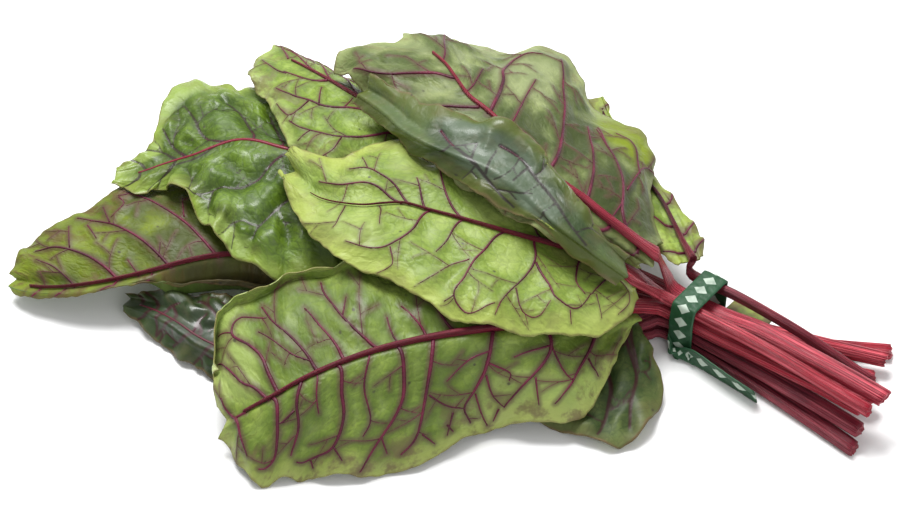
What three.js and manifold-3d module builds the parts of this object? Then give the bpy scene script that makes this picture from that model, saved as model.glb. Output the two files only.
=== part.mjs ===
import * as THREE from 'three';
import { mergeVertices } from 'three/addons/utils/BufferGeometryUtils.js';
import Module from 'manifold-3d';

// A bunch of red-stalked swiss chard lying on a table, held by a paper twist tie.
// Millimetres, +Z up. The stalks point to +X and -Y, the leaf tips to -X.

const wasm = await Module();
wasm.setup();

// Driving dimensions
const bladeThickness = 0.9;
const ribGap = 0.5;
const leafGap = 1;
const floorFlat = 0.75;
const bladeSteps = 16;
const columnPlaces = [0.3, 0.55, 0.78, 1];
const cell = 1;
const ruffleHeight = 3.6;
const cutSpread = 1.5;

// The bundle of stalks at the tie: where it is, which way it runs, how wide each stalk is there.
const tieX = 108.7;
const tieY = -56.4;
const bundleTurn = THREE.MathUtils.degToRad(-37);
const tieWidth = 13;
const tieThickness = 1.1;
const tieGap = 0.45;
const tieReach = 12;
const stalkPitch = 8.9;
const layerPitch = 5.7;
const stalkHeight = 5.2;
const stalkGap = 0.5;

const along = new THREE.Vector2(Math.cos(bundleTurn), Math.sin(bundleTurn));
const across = new THREE.Vector2(-along.y, along.x);

// A point of the bundle: distance along it from the tie, sideways from its middle, and height.
function bundlePoint(distance, side, height) {
  const x = tieX + along.x * distance + across.x * side;
  const y = tieY + along.y * distance + across.y * side;
  return [x, y, height];
}

// Each leaf has rows from its base to its tip: a point of the midrib, one of the near margin and
// one of the far margin. Its stalk ends at cut (distance, side, height) and passes the tie in one
// of three columns and four layers. Leaves are listed as they lie, the lowest first.
const leaves = [
  {
    name: 'left_dark_leaf', faceUp: true, color: 0x24361f, column: -1, layer: 0, cut: [96, -20, 0],
    width: 8, phase: 0.4, waves: 5,
    rows: [
      [[45, -70, 8], [45, -78, 5], [46, -60, 8]],
      [[9, -75, 10], [8, -86, 3], [6, -59, 10]],
      [[-28, -79, 10], [-30, -95, 1], [-30, -53, 11]],
      [[-59, -83, 10], [-63, -97, 0], [-63, -51, 12]],
      [[-87, -81, 10], [-90, -94, 0], [-90, -45, 12]],
      [[-107, -76, 11], [-110, -88, 0], [-108, -42, 13]],
      [[-119, -69, 11], [-123, -77, 0], [-121, -41, 13]],
      [[-130, -59, 11], [-135, -66, 1], [-132, -39, 13]],
      [[-139, -51, 10], [-143, -58, 2], [-140, -37, 12]],
      [[-148, -44, 8], [-151, -49, 3], [-149, -36, 10]],
      [[-156, -39, 6], [-157, -43, 4], [-157, -35, 7]],
    ],
  },
  {
    name: 'front_dark_leaf', faceUp: true, color: 0x2c4120, column: -1, layer: 1, cut: [95, -14, 4],
    width: 8, phase: 2.1, waves: 5,
    rows: [
      [[80, -59, 4], [84, -69, 2], [76, -51, 5]],
      [[72, -65, 9], [91, -96, 1], [66, -51, 11]],
      [[62, -72, 11], [84, -116, 0], [55, -54, 13]],
      [[51, -78, 12], [70, -129, 0], [41, -55, 14]],
      [[38, -84, 12], [51, -122, 0], [27, -55, 14]],
      [[22, -86, 11], [31, -111, 0], [11, -54, 13]],
      [[6, -89, 10], [12, -104, 0], [-5, -56, 12]],
      [[-9, -92, 9], [-7, -101, 0], [-19, -62, 10]],
      [[-23, -94, 7], [-24, -99, 1], [-30, -76, 8]],
    ],
  },
  {
    name: 'left_leaf', faceUp: false, color: 0x6f8f3a, column: 0, layer: 0, cut: [81, 23, 0],
    width: 8, phase: 1.2, waves: 6, ribTaper: 0.35,
    rows: [
      [[-19, -40, 18], [-19, -49, 14], [-19, -28, 18]],
      [[-56, -38, 22], [-57, -48, 11], [-62, -12, 25]],
      [[-84, -34, 24], [-88, -44, 9], [-94, 8, 28]],
      [[-105, -32, 24], [-110, -41, 7], [-124, 18, 29]],
      [[-123, -34, 23], [-128, -41, 6], [-148, 21, 29]],
      [[-142, -37, 20], [-144, -42, 12], [-167, 13, 26]],
      [[-161, -39, 17], [-162, -43, 15], [-184, 4, 21]],
      [[-180, -39, 14], [-181, -42, 12], [-200, -5, 17]],
      [[-194, -36, 11], [-195, -39, 9], [-208, -13, 13]],
      [[-204, -32, 9], [-205, -34, 7], [-212, -20, 10]],
      [[-211, -27, 7], [-211, -28, 6], [-213, -22, 8]],
    ],
  },
  {
    name: 'crinkled_leaf', faceUp: true, color: 0x39601f, column: 1, layer: 0, cut: [78, 43, 0],
    width: 8, phase: 0.9, waves: 8,
    rows: [
      [[4, -22, 32], [4, -34, 24], [4, -5, 32]],
      [[-15, -13, 34], [-14, -45, 16], [-20, 32, 32]],
      [[-33, -6, 36], [-36, -51, 10], [-42, 51, 33]],
      [[-52, 4, 38], [-54, -46, 8], [-64, 64, 34]],
      [[-69, 13, 39], [-75, -49, 8], [-82, 71, 36]],
      [[-82, 17, 40], [-90, -47, 10], [-101, 75, 37]],
      [[-98, 25, 40], [-106, -36, 12], [-113, 76, 38]],
      [[-111, 28, 39], [-117, -25, 20], [-126, 82, 38]],
      [[-124, 25, 37], [-126, -7, 25], [-137, 80, 38]],
      [[-135, 24, 35], [-140, 8, 27], [-147, 57, 37]],
      [[-146, 22, 33], [-151, 7, 28], [-150, 36, 36]],
      [[-156, 20, 31], [-160, 12, 28], [-159, 29, 34]],
      [[-165, 20, 30], [-166, 17, 29], [-164, 25, 31]],
    ],
  },
  {
    name: 'front_leaf', faceUp: false, color: 0x5f8c30, column: -1, layer: 2, cut: [92, -7, 6],
    width: 8.4, phase: 2.6, waves: 7, ribTaper: 0.75,
    rows: [
      [[79, -61, 18], [77, -70, 13], [75, -52, 20]],
      [[72, -70, 24], [71, -87, 14], [63, -57, 32]],
      [[48, -83, 32], [59, -116, 6], [38, -70, 42]],
      [[26, -92, 37], [32, -122, 1], [14, -70, 46]],
      [[6, -97, 39], [8, -121, 0], [-7, -70, 47]],
      [[-14, -102, 40], [-14, -139, 0], [-27, -67, 47]],
      [[-36, -109, 40], [-39, -146, 0], [-49, -62, 46]],
      [[-53, -115, 38], [-61, -148, 0], [-67, -63, 44]],
      [[-68, -120, 34], [-74, -148, 0], [-85, -68, 40]],
      [[-81, -124, 28], [-85, -152, 0], [-102, -71, 34]],
      [[-92, -126, 22], [-95, -147, 1], [-111, -82, 26]],
      [[-99, -126, 17], [-102, -131, 4], [-110, -102, 20]],
      [[-104, -125, 12], [-106, -127, 6], [-109, -115, 14]],
    ],
  },
  {
    name: 'upper_left_leaf', faceUp: false, color: 0x76953f, column: 1, layer: 1, cut: [81, 33, 2],
    width: 8, phase: 0.2, waves: 7,
    rows: [
      [[27, -19, 40], [23, -33, 34], [33, 5, 30]],
      [[9, -4, 44], [3, -30, 37], [16, 44, 18]],
      [[-10, 12, 46], [-24, -21, 37], [-2, 80, 8]],
      [[-27, 26, 48], [-44, -7, 37], [-20, 105, 1]],
      [[-40, 38, 50], [-64, 0, 37], [-36, 116, 0]],
      [[-54, 50, 51], [-79, 13, 37], [-50, 125, 0]],
      [[-65, 61, 51], [-89, 39, 37], [-62, 133, 0]],
      [[-75, 72, 50], [-97, 57, 37], [-72, 139, 1]],
      [[-84, 83, 48], [-103, 70, 39], [-83, 136, 10]],
      [[-96, 96, 44], [-103, 88, 41], [-94, 121, 30]],
    ],
  },
  {
    name: 'right_leaf_wing', faceUp: false, color: 0x7f9a4a, noStalk: true,
    width: 4.6, phase: 0.1, waves: 2,
    rows: [
      [[122, -52, 14], [119, -56, 14], [125, -48, 14]],
      [[128, -57, 14], [125, -61, 13], [134, -49, 14]],
      [[135, -61, 12], [132, -65, 11], [140, -56, 12]],
      [[141, -65, 10], [139, -68, 9], [144, -62, 10]],
    ],
  },
  {
    name: 'right_leaf', faceUp: false, color: 0x7f9a4a, column: 1.35, layer: 2, cut: [84, 14, 8],
    width: 3.8, phase: 1.5, waves: 6,
    rows: [
      [[106, -38, 25], [100, -41, 25], [112, -34, 25]],
      [[103, -27, 28], [92, -32, 28], [112, -21, 28]],
      [[100, -14, 29], [84, -17, 30], [109, -10, 29]],
      [[94, 5, 31], [72, 5, 31], [102, 4, 30]],
      [[83, 29, 31], [63, 29, 31], [91, 28, 29]],
      [[76, 46, 33], [58, 50, 33], [84, 43, 32]],
      [[70, 63, 35], [59, 65, 35], [74, 60, 35]],
      [[66, 76, 36], [61, 76, 35], [69, 77, 36]],
    ],
  },
  {
    name: 'middle_leaf', faceUp: false, color: 0x86a848, column: 0, layer: 1, cut: [90, 6, 4],
    width: 8.4, phase: 0.7, waves: 7,
    rows: [
      [[80, -47, 24], [76, -57, 21], [84, -38, 25]],
      [[72, -48, 31], [80, -68, 23], [76, -35, 33]],
      [[59, -52, 40], [66, -93, 30], [63, -36, 43]],
      [[40, -51, 46], [43, -100, 30], [45, -26, 50]],
      [[21, -50, 52], [21, -100, 33], [27, -21, 56]],
      [[4, -45, 55], [2, -98, 37], [11, -8, 59]],
      [[-14, -39, 57], [-16, -88, 43], [-3, -4, 61]],
      [[-29, -34, 58], [-34, -75, 48], [-19, -3, 61]],
      [[-41, -34, 56], [-51, -67, 49], [-36, 14, 60]],
      [[-56, -30, 53], [-66, -46, 46], [-52, -3, 57]],
      [[-66, -24, 49], [-75, -31, 43], [-64, 1, 53]],
      [[-72, -17, 45], [-81, -14, 39], [-77, 8, 46]],
      [[-80, 0, 39], [-85, 2, 35], [-83, 11, 39]],
    ],
  },
  {
    name: 'top_leaf', faceUp: false, color: 0x5a6e35, column: 0.1, layer: 2, cut: [99, -2, 12],
    width: 9.6, phase: 1.9, waves: 8, ribTaper: 0.75,
    rows: [
      [[88, -46, 35], [80, -50, 32], [94, -30, 30]],
      [[81, -46, 41], [72, -49, 35], [92, -8, 31]],
      [[73, -45, 48], [62, -52, 40], [90, 13, 32]],
      [[65, -43, 54], [47, -54, 45], [91, 31, 35]],
      [[56, -37, 59], [33, -54, 49], [88, 45, 37]],
      [[45, -29, 63], [19, -43, 53], [73, 54, 39]],
      [[34, -19, 68], [5, -34, 56], [61, 67, 42]],
      [[22, -3, 72], [-6, -19, 58], [57, 89, 44]],
      [[13, 9, 74], [-22, 5, 58], [43, 100, 46]],
      [[3, 21, 75], [-33, 20, 57], [25, 94, 49]],
      [[-4, 37, 75], [-47, 44, 56], [9, 96, 51]],
      [[-10, 50, 74], [-58, 54, 55], [-4, 98, 54]],
      [[-20, 63, 72], [-60, 64, 56], [-16, 94, 58]],
      [[-30, 72, 69], [-50, 75, 60], [-28, 91, 63]],
    ],
  },
  {
    name: 'folded_leaf', faceUp: true, color: 0x253a28, column: -1, layer: 3, cut: [97, -12, 12],
    width: 5.6, phase: 0.3, waves: 5,
    rows: [
      [[74, -65, 42], [69, -72, 39], [76, -57, 43]],
      [[58, -63, 58], [51, -66, 51], [60, -52, 58]],
      [[46, -56, 63], [39, -58, 55], [49, -38, 63]],
      [[36, -45, 67], [27, -51, 58], [42, -27, 67]],
      [[26, -36, 71], [14, -43, 60], [38, -17, 71]],
      [[14, -28, 74], [2, -33, 62], [28, -9, 75]],
      [[2, -21, 76], [-10, -19, 63], [14, -2, 77]],
      [[-11, -12, 75], [-21, -5, 64], [1, 5, 77]],
      [[-24, 3, 72], [-31, 8, 64], [-14, 13, 74]],
      [[-34, 20, 69], [-40, 20, 64], [-28, 28, 70]],
      [[-46, 36, 65], [-49, 35, 63], [-43, 43, 66]],
    ],
  },
];

const vec = (p) => new THREE.Vector3(p[0], p[1], p[2]);
const lerp = THREE.MathUtils.lerp;

// The top of everything laid so far, one height per square of the table.
const mapMin = { x: -250, y: -200 };
const mapSize = { x: 520, y: 360 };
const heights = new Float32Array(mapSize.x * mapSize.y);

function cellOf(x, y) {
  const column = Math.round((x - mapMin.x) / cell);
  const row = Math.round((y - mapMin.y) / cell);
  return row * mapSize.x + column;
}

// Calls visit(x, y, z, corners) on points spread over the triangle a, b, c.
function overTriangle(a, b, c, visit) {
  const longest = Math.max(a.distanceTo(b), b.distanceTo(c), c.distanceTo(a));
  const steps = Math.max(2, Math.ceil(longest / 0.9));
  for (let i = 0; i <= steps; i += 1) {
    for (let j = 0; j <= steps - i; j += 1) {
      const u = i / steps;
      const v = j / steps;
      const w = 1 - u - v;
      visit(a.x * w + b.x * u + c.x * v, a.y * w + b.y * u + c.y * v, a.z * w + b.z * u + c.z * v);
    }
  }
}

// The paper band lies under the stalks, so they start that much higher there.
for (let side = -18; side <= 18; side += 0.5) {
  for (let distance = -tieWidth / 2 - 2; distance <= tieWidth / 2 + 2; distance += 0.5) {
    const p = bundlePoint(distance, side, 0);
    heights[cellOf(p[0], p[1])] = tieThickness + tieGap - stalkGap;
  }
}

// Half width and height of a stalk and its rib. Its place is -2 at the cut end, -1 where the tie
// holds it, 0 at the leaf's base and 1 at the tip.
function stalkSize(leaf, place) {
  if (place <= 0) {
    const spread = 1 + (cutSpread - 1) * Math.max(0, -1 - place);
    return { half: spread * leaf.width / 2, high: stalkHeight };
  }
  const taper = place ** (leaf.ribTaper ?? 0.6);
  return { half: lerp(leaf.width / 2, 0.8, taper), high: lerp(stalkHeight, 1.3, taper) };
}

// Where the stations between two points of a stalk's path go. They are close together just past
// the tie, where the stalks part.
function stalkParts(i, spine) {
  if (i === 2) {
    return [];
  }
  const length = spine[i].distanceTo(spine[i + 1]);
  if (i === 3) {
    return [7, 16, 32, 54].filter((distance) => distance < length - 6).map((distance) => distance / length);
  }
  return length > 70 ? [0.33, 0.67] : [0.5];
}

// Stations along a leaf: its midrib point, its sideways direction, and on the blade its columns.
function leafStations(leaf) {
  const side = (leaf.column ?? 0) * stalkPitch;
  const low = tieThickness + tieGap + (leaf.layer ?? 0) * layerPitch;
  const cut = leaf.cut ?? [0, 0, 0];
  const stalk = [
    bundlePoint(cut[0], cut[1], cut[2]),
    bundlePoint(lerp(tieReach, cut[0], 0.5), lerp(side, cut[1], 0.42), lerp(low, cut[2], 0.45)),
    bundlePoint(tieReach, side, low),
    bundlePoint(-tieReach, side, low),
  ];
  if (leaf.noStalk) {
    stalk.length = 0;
  }
  const first = leaf.rows[0][0];
  const last = stalk[stalk.length - 1] ?? first;
  if (Math.hypot(first[0] - last[0], first[1] - last[1]) > 40) {
    stalk.push([lerp(last[0], first[0], 0.5), lerp(last[1], first[1], 0.5), lerp(last[2], first[2], 0.4)]);
  }
  const spine = [...stalk, ...leaf.rows.map((row) => row[0])].map(vec);
  const spineCurve = new THREE.CatmullRomCurve3(spine);
  const nearCurve = new THREE.CatmullRomCurve3(leaf.rows.map((row) => vec(row[1])));
  const farCurve = new THREE.CatmullRomCurve3(leaf.rows.map((row) => vec(row[2])));
  const intervals = spine.length - 1;
  const stations = [];
  for (let i = 0; i < stalk.length; i += 1) {
    const held = i === 2;
    stations.push({ t: i / intervals, place: Math.max(-1, -2 + i / 2), blade: false, held });
    for (const part of stalkParts(i, spine)) {
      stations.push({ t: (i + part) / intervals, place: Math.max(-1, -2 + (i + part) / 2), blade: false });
    }
  }
  if (stalk.length > 0) {
    stations[0].held = true;
  }
  for (let i = 0; i <= bladeSteps; i += 1) {
    const place = i / bladeSteps;
    stations.push({ t: (stalk.length + place * (leaf.rows.length - 1)) / intervals, place, blade: true });
  }
  for (const station of stations) {
    station.mid = spineCurve.getPoint(station.t);
    const ahead = spineCurve.getTangent(station.t);
    station.side = new THREE.Vector3(-ahead.y, ahead.x, 0).normalize();
    Object.assign(station, stalkSize(leaf, station.place));
    if (station.blade) {
      addColumns(leaf, station, nearCurve.getPoint(station.place), farCurve.getPoint(station.place));
    }
  }
  return stations;
}

// A row of the blade: flat beside the rib, then out to the margin with a swell and a wave in it.
function addColumns(leaf, station, near, far) {
  const columns = [];
  for (const [margin, sign] of [[near, -1], [far, 1]]) {
    const out = margin.clone().sub(station.mid);
    const flatOut = new THREE.Vector3(out.x, out.y, 0);
    const toSide = flatOut.dot(station.side) >= 0 ? 1 : -1;
    const reach = Math.max(flatOut.length(), station.half + 4);
    const strip = Math.min(station.half + 1.8, 0.6 * reach);
    const start = station.mid.clone().addScaledVector(station.side, strip * toSide);
    const end = station.mid.clone().addScaledVector(flatOut.normalize(), reach);
    end.z = margin.z;
    const half = [start];
    for (const t of columnPlaces) {
      const p = start.clone().lerp(end, t);
      const wide = Math.min(1, reach / 30);
      const turn = (station.place * leaf.waves + leaf.phase) * Math.PI * 2 + sign * 0.9;
      p.z += Math.sin(Math.PI * t) * 3.2 * wide;
      p.z += Math.sin(turn) * ruffleHeight * t * t * wide * (0.7 + 0.3 * Math.sin(turn * 0.37));
      half.push(p);
    }
    columns.push(half);
    station.toSide = toSide;
  }
  // Columns run from the right hand margin to the left hand one, seen from the base.
  const [nearHalf, farHalf] = columns;
  const [right, left] = station.toSide > 0 ? [nearHalf, farHalf] : [farHalf, nearHalf];
  station.columns = [...right.reverse(), ...left];
}

// Lifts a leaf clear of everything under it, then smooths the lift the way a leaf drapes.
function layLeaf(leaf, stations) {
  const width = columnPlaces.length * 2 + 2;
  const middle = [width / 2 - 1, width / 2];
  const needs = stations.map(() => new Float64Array(width));
  const apart = bladeThickness / 2 + ribGap;
  const drop = leaf.faceUp ? apart : -apart;
  const readTriangle = (corners, under, gap, marks) => {
    let need = 0;
    overTriangle(corners[0], corners[1], corners[2], (x, y, z) => {
      const base = heights[cellOf(x, y)];
      need = Math.max(need, base + (base > 0 ? gap : 0) - (z - under));
    });
    for (const [i, j] of marks) {
      needs[i][j] = Math.max(needs[i][j], need);
    }
  };
  stations.forEach((a, i) => {
    const b = stations[i + 1];
    if (!b) {
      return;
    }
    const under = leaf.faceUp ? drop * 1.2 + Math.max(a.high, b.high) : drop;
    const marks = [[i, middle[0]], [i + 1, middle[0]]];
    for (const corners of stalkTriangles(a, b, 0.8)) {
      readTriangle(corners, under, a.blade ? leafGap : stalkGap, marks);
    }
    if (a.blade && b.blade) {
      for (let j = 0; j < width - 1; j += 1) {
        const quad = [[i, j], [i, j + 1], [i + 1, j + 1], [i + 1, j]];
        const p = quad.map(([row, column]) => stations[row].columns[column]);
        readTriangle([p[0], p[1], p[2]], 0.9, leafGap, [quad[0], quad[1], quad[2]]);
        readTriangle([p[0], p[2], p[3]], 0.9, leafGap, [quad[0], quad[2], quad[3]]);
      }
    }
  });
  evenMiddle(needs, stations, middle);
  let lifts = needs.map((row) => Float64Array.from(row));
  for (let round = 0; round < 60; round += 1) {
    const next = lifts.map((row) => Float64Array.from(row));
    stations.forEach((station, i) => {
      const before = lifts[Math.max(0, i - 1)];
      const after = lifts[Math.min(stations.length - 1, i + 1)];
      for (let j = 0; j < width; j += 1) {
        const left = lifts[i][Math.max(0, j - 1)];
        const right = lifts[i][Math.min(width - 1, j + 1)];
        const around = station.blade ? (before[j] + after[j] + left + right) / 4 : (before[j] + after[j]) / 2;
        const drape = station.held ? 0 : around * (station.blade ? 0.97 : 0.995);
        next[i][j] = Math.max(needs[i][j], drape);
      }
    });
    evenMiddle(next, stations, middle);
    lifts = next;
  }
  stations.forEach((station, i) => {
    station.mid.z += lifts[i][middle[0]];
    if (station.blade) {
      station.columns.forEach((p, j) => {
        p.z += lifts[i][j];
      });
    }
  });
  addLead(stations);
  stations.forEach((station, i) => {
    const ahead = stations[Math.min(stations.length - 1, i + 1)].mid;
    const run = ahead.clone().sub(stations[Math.max(0, i - 1)].mid);
    const steep = Math.min(1.8, run.length() / Math.hypot(run.x, run.y));
    station.low = station.mid.z - drop * steep - (drop > 0 ? station.high : 0);
  });
}

// One more station just before the blade, in line with it, so the stalk bends clear of its end.
function addLead(stations) {
  const first = stations.findIndex((station) => station.blade);
  if (first < 1) {
    return;
  }
  const base = stations[first];
  const back = base.mid.clone().sub(stations[first + 1].mid).setLength(3);
  const before = stations[first - 1].mid;
  const share = Math.hypot(back.x, back.y) / Math.hypot(before.x - base.mid.x, before.y - base.mid.y);
  if (back.z < (before.z - base.mid.z) * share) {
    return;
  }
  const lead = { ...base, mid: base.mid.clone().add(back), side: base.side.clone(), blade: false, place: 0 };
  stations.splice(first, 0, lead);
}

function evenMiddle(grid, stations, middle) {
  grid.forEach((row, i) => {
    const most = Math.max(row[middle[0]], row[middle[1]]);
    if (stations[i].blade) {
      row[middle[0]] = most;
      row[middle[1]] = most;
    } else {
      row.fill(most);
    }
  });
}

// The flat strip of a stalk between two stations, trimmed by some millimetres at its sides.
function stalkTriangles(a, b, trim) {
  const corner = (station, sign) => {
    const half = Math.max(0.3, station.half - trim);
    return station.mid.clone().addScaledVector(station.side, half * sign);
  };
  const p = [corner(a, -1), corner(a, 1), corner(b, 1), corner(b, -1)];
  return [[p[0], p[1], p[2]], [p[0], p[2], p[3]]];
}

// Adds a laid leaf to the height map.
function markLeaf(leaf, stations) {
  const touched = new Map();
  const write = (x, y, z) => {
    const at = cellOf(x, y);
    touched.set(at, Math.max(touched.get(at) ?? 0, z));
  };
  stations.forEach((a, i) => {
    const b = stations[i + 1];
    if (!b) {
      return;
    }
    const top = Math.max(a.low - a.mid.z + a.high, b.low - b.mid.z + b.high);
    for (const corners of stalkTriangles(a, b, 1.2)) {
      overTriangle(corners[0], corners[1], corners[2], (x, y, z) => write(x, y, z + top));
    }
    if (a.blade && b.blade) {
      for (let j = 0; j < a.columns.length - 1; j += 1) {
        const p = [a.columns[j], a.columns[j + 1], b.columns[j + 1], b.columns[j]];
        overTriangle(p[0], p[1], p[2], (x, y, z) => write(x, y, z + 0.9));
        overTriangle(p[0], p[2], p[3], (x, y, z) => write(x, y, z + 0.9));
      }
    }
  });
  for (const [at, z] of touched) {
    for (const step of [0, 1, -1, mapSize.x, -mapSize.x]) {
      heights[at + step] = Math.max(heights[at + step], z);
    }
  }
}

// A closed mesh from rings of points, each ring joined to the next and both ends capped. The
// quads are split the way the blade's are, so that a stalk stays parallel to the blade it is on.
function loft(rings, otherWay) {
  const positions = [];
  const faces = [];
  const sides = rings[0].length;
  for (const ring of rings) {
    for (const p of ring) {
      positions.push(p.x, p.y, p.z);
    }
  }
  for (let i = 0; i < rings.length - 1; i += 1) {
    for (let j = 0; j < sides; j += 1) {
      const a = i * sides + j;
      const b = i * sides + (j + 1) % sides;
      if (otherWay) {
        faces.push(a, b, a + sides, b, b + sides, a + sides);
      } else {
        faces.push(a, b, b + sides, a, b + sides, a + sides);
      }
    }
  }
  const end = (rings.length - 1) * sides;
  for (let j = 1; j < sides - 1; j += 1) {
    faces.push(0, j + 1, j, end, end + j, end + j + 1);
  }
  return makeGeometry(positions, faces);
}

function makeGeometry(positions, faces) {
  const geometry = new THREE.BufferGeometry();
  geometry.setAttribute('position', new THREE.Float32BufferAttribute(positions, 3));
  geometry.setIndex(faces);
  return geometry;
}

// Stalk and midrib in one: flat where it meets the blade, domed and narrowing away from it.
const stalkSection = [[-0.78, 0], [0.78, 0], [1, 0.45], [0.55, 1], [-0.55, 1], [-1, 0.45]];

function stalkGeometry(leaf, stations) {
  const used = stations.filter((station) => station.place < 0.93);
  const rings = used.map((station) => {
    return stalkSection.map(([w, h]) => {
      const rise = leaf.faceUp ? 1 - h : h;
      const out = (leaf.faceUp ? -w : w) * station.half;
      const p = station.mid.clone().addScaledVector(station.side, out);
      p.z = station.low + rise * station.high;
      return p;
    });
  });
  return loft(rings, leaf.faceUp);
}

// The blade: two faces parallel to the laid surface, joined round the margin.
function bladeGeometry(stations) {
  const rows = stations.filter((station) => station.blade).map((station) => station.columns);
  const height = rows.length;
  const width = rows[0].length;
  const at = (i, j) => rows[Math.min(height - 1, Math.max(0, i))][Math.min(width - 1, Math.max(0, j))];
  const positions = [];
  for (const sign of [1, -1]) {
    for (let i = 0; i < height; i += 1) {
      for (let j = 0; j < width; j += 1) {
        const u = at(i + 1, j).clone().sub(at(i - 1, j));
        const v = at(i, j + 1).clone().sub(at(i, j - 1));
        const normal = u.cross(v).normalize();
        const p = at(i, j).clone().addScaledVector(normal, sign * bladeThickness / 2);
        if (sign < 0 && p.z < floorFlat) {
          p.z = 0;
        }
        positions.push(p.x, p.y, p.z);
      }
    }
  }
  const faces = [];
  const under = height * width;
  const quad = (a, b, c, d) => faces.push(a, b, c, a, c, d);
  for (let i = 0; i < height - 1; i += 1) {
    for (let j = 0; j < width - 1; j += 1) {
      const a = i * width + j;
      faces.push(a, a + width, a + width + 1, a, a + width + 1, a + 1);
      faces.push(under + a, under + a + width + 1, under + a + width);
      faces.push(under + a, under + a + 1, under + a + width + 1);
    }
  }
  for (let i = 0; i < height - 1; i += 1) {
    const a = i * width;
    const b = a + width - 1;
    quad(a, under + a, under + a + width, a + width);
    quad(b, b + width, under + b + width, under + b);
  }
  for (let j = 0; j < width - 1; j += 1) {
    const b = (height - 1) * width + j;
    quad(j, j + 1, under + j + 1, under + j);
    quad(b, under + b, under + b + 1, b + 1);
  }
  return makeGeometry(positions, faces);
}

// Outline round a set of points in the plane across the bundle.
function hull(points) {
  const sorted = [...points].sort((a, b) => a.x - b.x || a.y - b.y);
  const turn = (o, a, b) => (a.x - o.x) * (b.y - o.y) - (a.y - o.y) * (b.x - o.x);
  const chain = (list) => {
    const out = [];
    for (const p of list) {
      while (out.length > 1 && turn(out[out.length - 2], out[out.length - 1], p) <= 0) {
        out.pop();
      }
      out.push(p);
    }
    out.pop();
    return out;
  };
  return [...chain(sorted), ...chain(sorted.reverse())];
}

// The outline moved outwards by a distance, each corner along its own bisector.
function grow(outline, distance) {
  const count = outline.length;
  return outline.map((p, i) => {
    const before = p.clone().sub(outline[(i + count - 1) % count]).normalize();
    const after = outline[(i + 1) % count].clone().sub(p).normalize();
    const out = new THREE.Vector2(before.y + after.y, -before.x - after.x).normalize();
    const open = Math.max(0.5, out.dot(new THREE.Vector2(before.y, -before.x)));
    return p.clone().addScaledVector(out, distance / open);
  });
}

function toSolid(geometry) {
  const bare = geometry.index ? geometry.toNonIndexed() : geometry.clone();
  bare.deleteAttribute('normal');
  bare.deleteAttribute('uv');
  const merged = mergeVertices(bare, 1e-4);
  const vertProperties = new Float32Array(merged.attributes.position.array);
  const triVerts = new Uint32Array(merged.index.array);
  return new wasm.Manifold(new wasm.Mesh({ numProp: 3, vertProperties, triVerts }));
}

// The corners of a stalk where it enters and leaves the tie, in the plane across the bundle.
function tieSection(stations) {
  const corners = [];
  const fromTie = stations.map((station) => new THREE.Vector2(station.mid.x - tieX, station.mid.y - tieY));
  for (const distance of [-tieWidth / 2 - 0.5, tieWidth / 2 + 0.5]) {
    for (let i = 0; i < stations.length - 1; i += 1) {
      const [a, b] = [fromTie[i].dot(along), fromTie[i + 1].dot(along)];
      if (a < distance || b > distance || stations[i + 1].blade) {
        continue;
      }
      const share = (a - distance) / (a - b);
      const side = lerp(fromTie[i].dot(across), fromTie[i + 1].dot(across), share);
      const low = lerp(stations[i].low, stations[i + 1].low, share);
      const half = lerp(stations[i].half, stations[i + 1].half, share);
      const high = lerp(stations[i].high, stations[i + 1].high, share);
      for (const out of [-half, half]) {
        corners.push(new THREE.Vector2(side + out, low), new THREE.Vector2(side + out, low + high));
      }
    }
  }
  return corners;
}

// The twist tie: a paper band round all the stalks, twisted once at the front, its flat tail
// lying along the lowest stalk.
function tieGeometry(outline) {
  const inner = grow(outline, tieGap);
  const outer = grow(inner, tieThickness);
  const lowest = Math.min(...outer.map((p) => p.y));
  outer.forEach((p) => {
    if (p.y < lowest + 0.35) {
      p.y = 0;
    }
  });
  const place = (p, distance) => vec(bundlePoint(distance, p.x, p.y));
  const half = tieWidth / 2;
  const positions = [];
  const count = inner.length;
  for (const [loop, distance] of [[outer, -half], [outer, half], [inner, half], [inner, -half]]) {
    for (const p of loop) {
      const q = place(p, distance);
      positions.push(q.x, q.y, q.z);
    }
  }
  const faces = [];
  for (let ring = 0; ring < 4; ring += 1) {
    const next = ((ring + 1) % 4) * count;
    for (let i = 0; i < count; i += 1) {
      const a = ring * count + i;
      const b = ring * count + (i + 1) % count;
      const c = next + (i + 1) % count;
      const d = next + i;
      faces.push(a, b, c, a, c, d);
    }
  }
  const band = toSolid(makeGeometry(positions, faces));
  const front = outer.reduce((a, b) => (b.x < a.x ? b : a));
  const strip = [];
  const path = [
    [-5.5, 0.4, 4.6, 60], [-2.5, -1.6, 4.2, 150], [1, -2.4, 4, 230], [5, -2.2, 5.4, 266],
    [12, -2.6, 6.2, 280], [22, -3.8, 6.1, 288], [34, -5.4, 5.9, 292], [46, -7, 5.8, 292],
  ];
  path.forEach(([distance, out, height, turnDegrees], i) => {
    const turn = THREE.MathUtils.degToRad(turnDegrees);
    const widths = [2, 2, 2.1, 3.4, 5.4, 6, 6, 5.8];
    const wide = new THREE.Vector2(Math.cos(turn), Math.sin(turn));
    const thin = new THREE.Vector2(-wide.y, wide.x);
    const ring = [[-1, -1], [1, -1], [1, 1], [-1, 1]].map(([w, t]) => {
      const x = front.x + out + wide.x * w * widths[i] + thin.x * t * 0.7;
      const y = height + wide.y * w * widths[i] + thin.y * t * 0.7;
      return vec(bundlePoint(distance, x, Math.max(0, y)));
    });
    strip.push(ring);
  });
  const tail = toSolid(loft(strip));
  const joined = band.add(tail).getMesh();
  return makeGeometry(Array.from(joined.vertProperties), Array.from(joined.triVerts));
}

const bunch = new THREE.Group();

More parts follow.
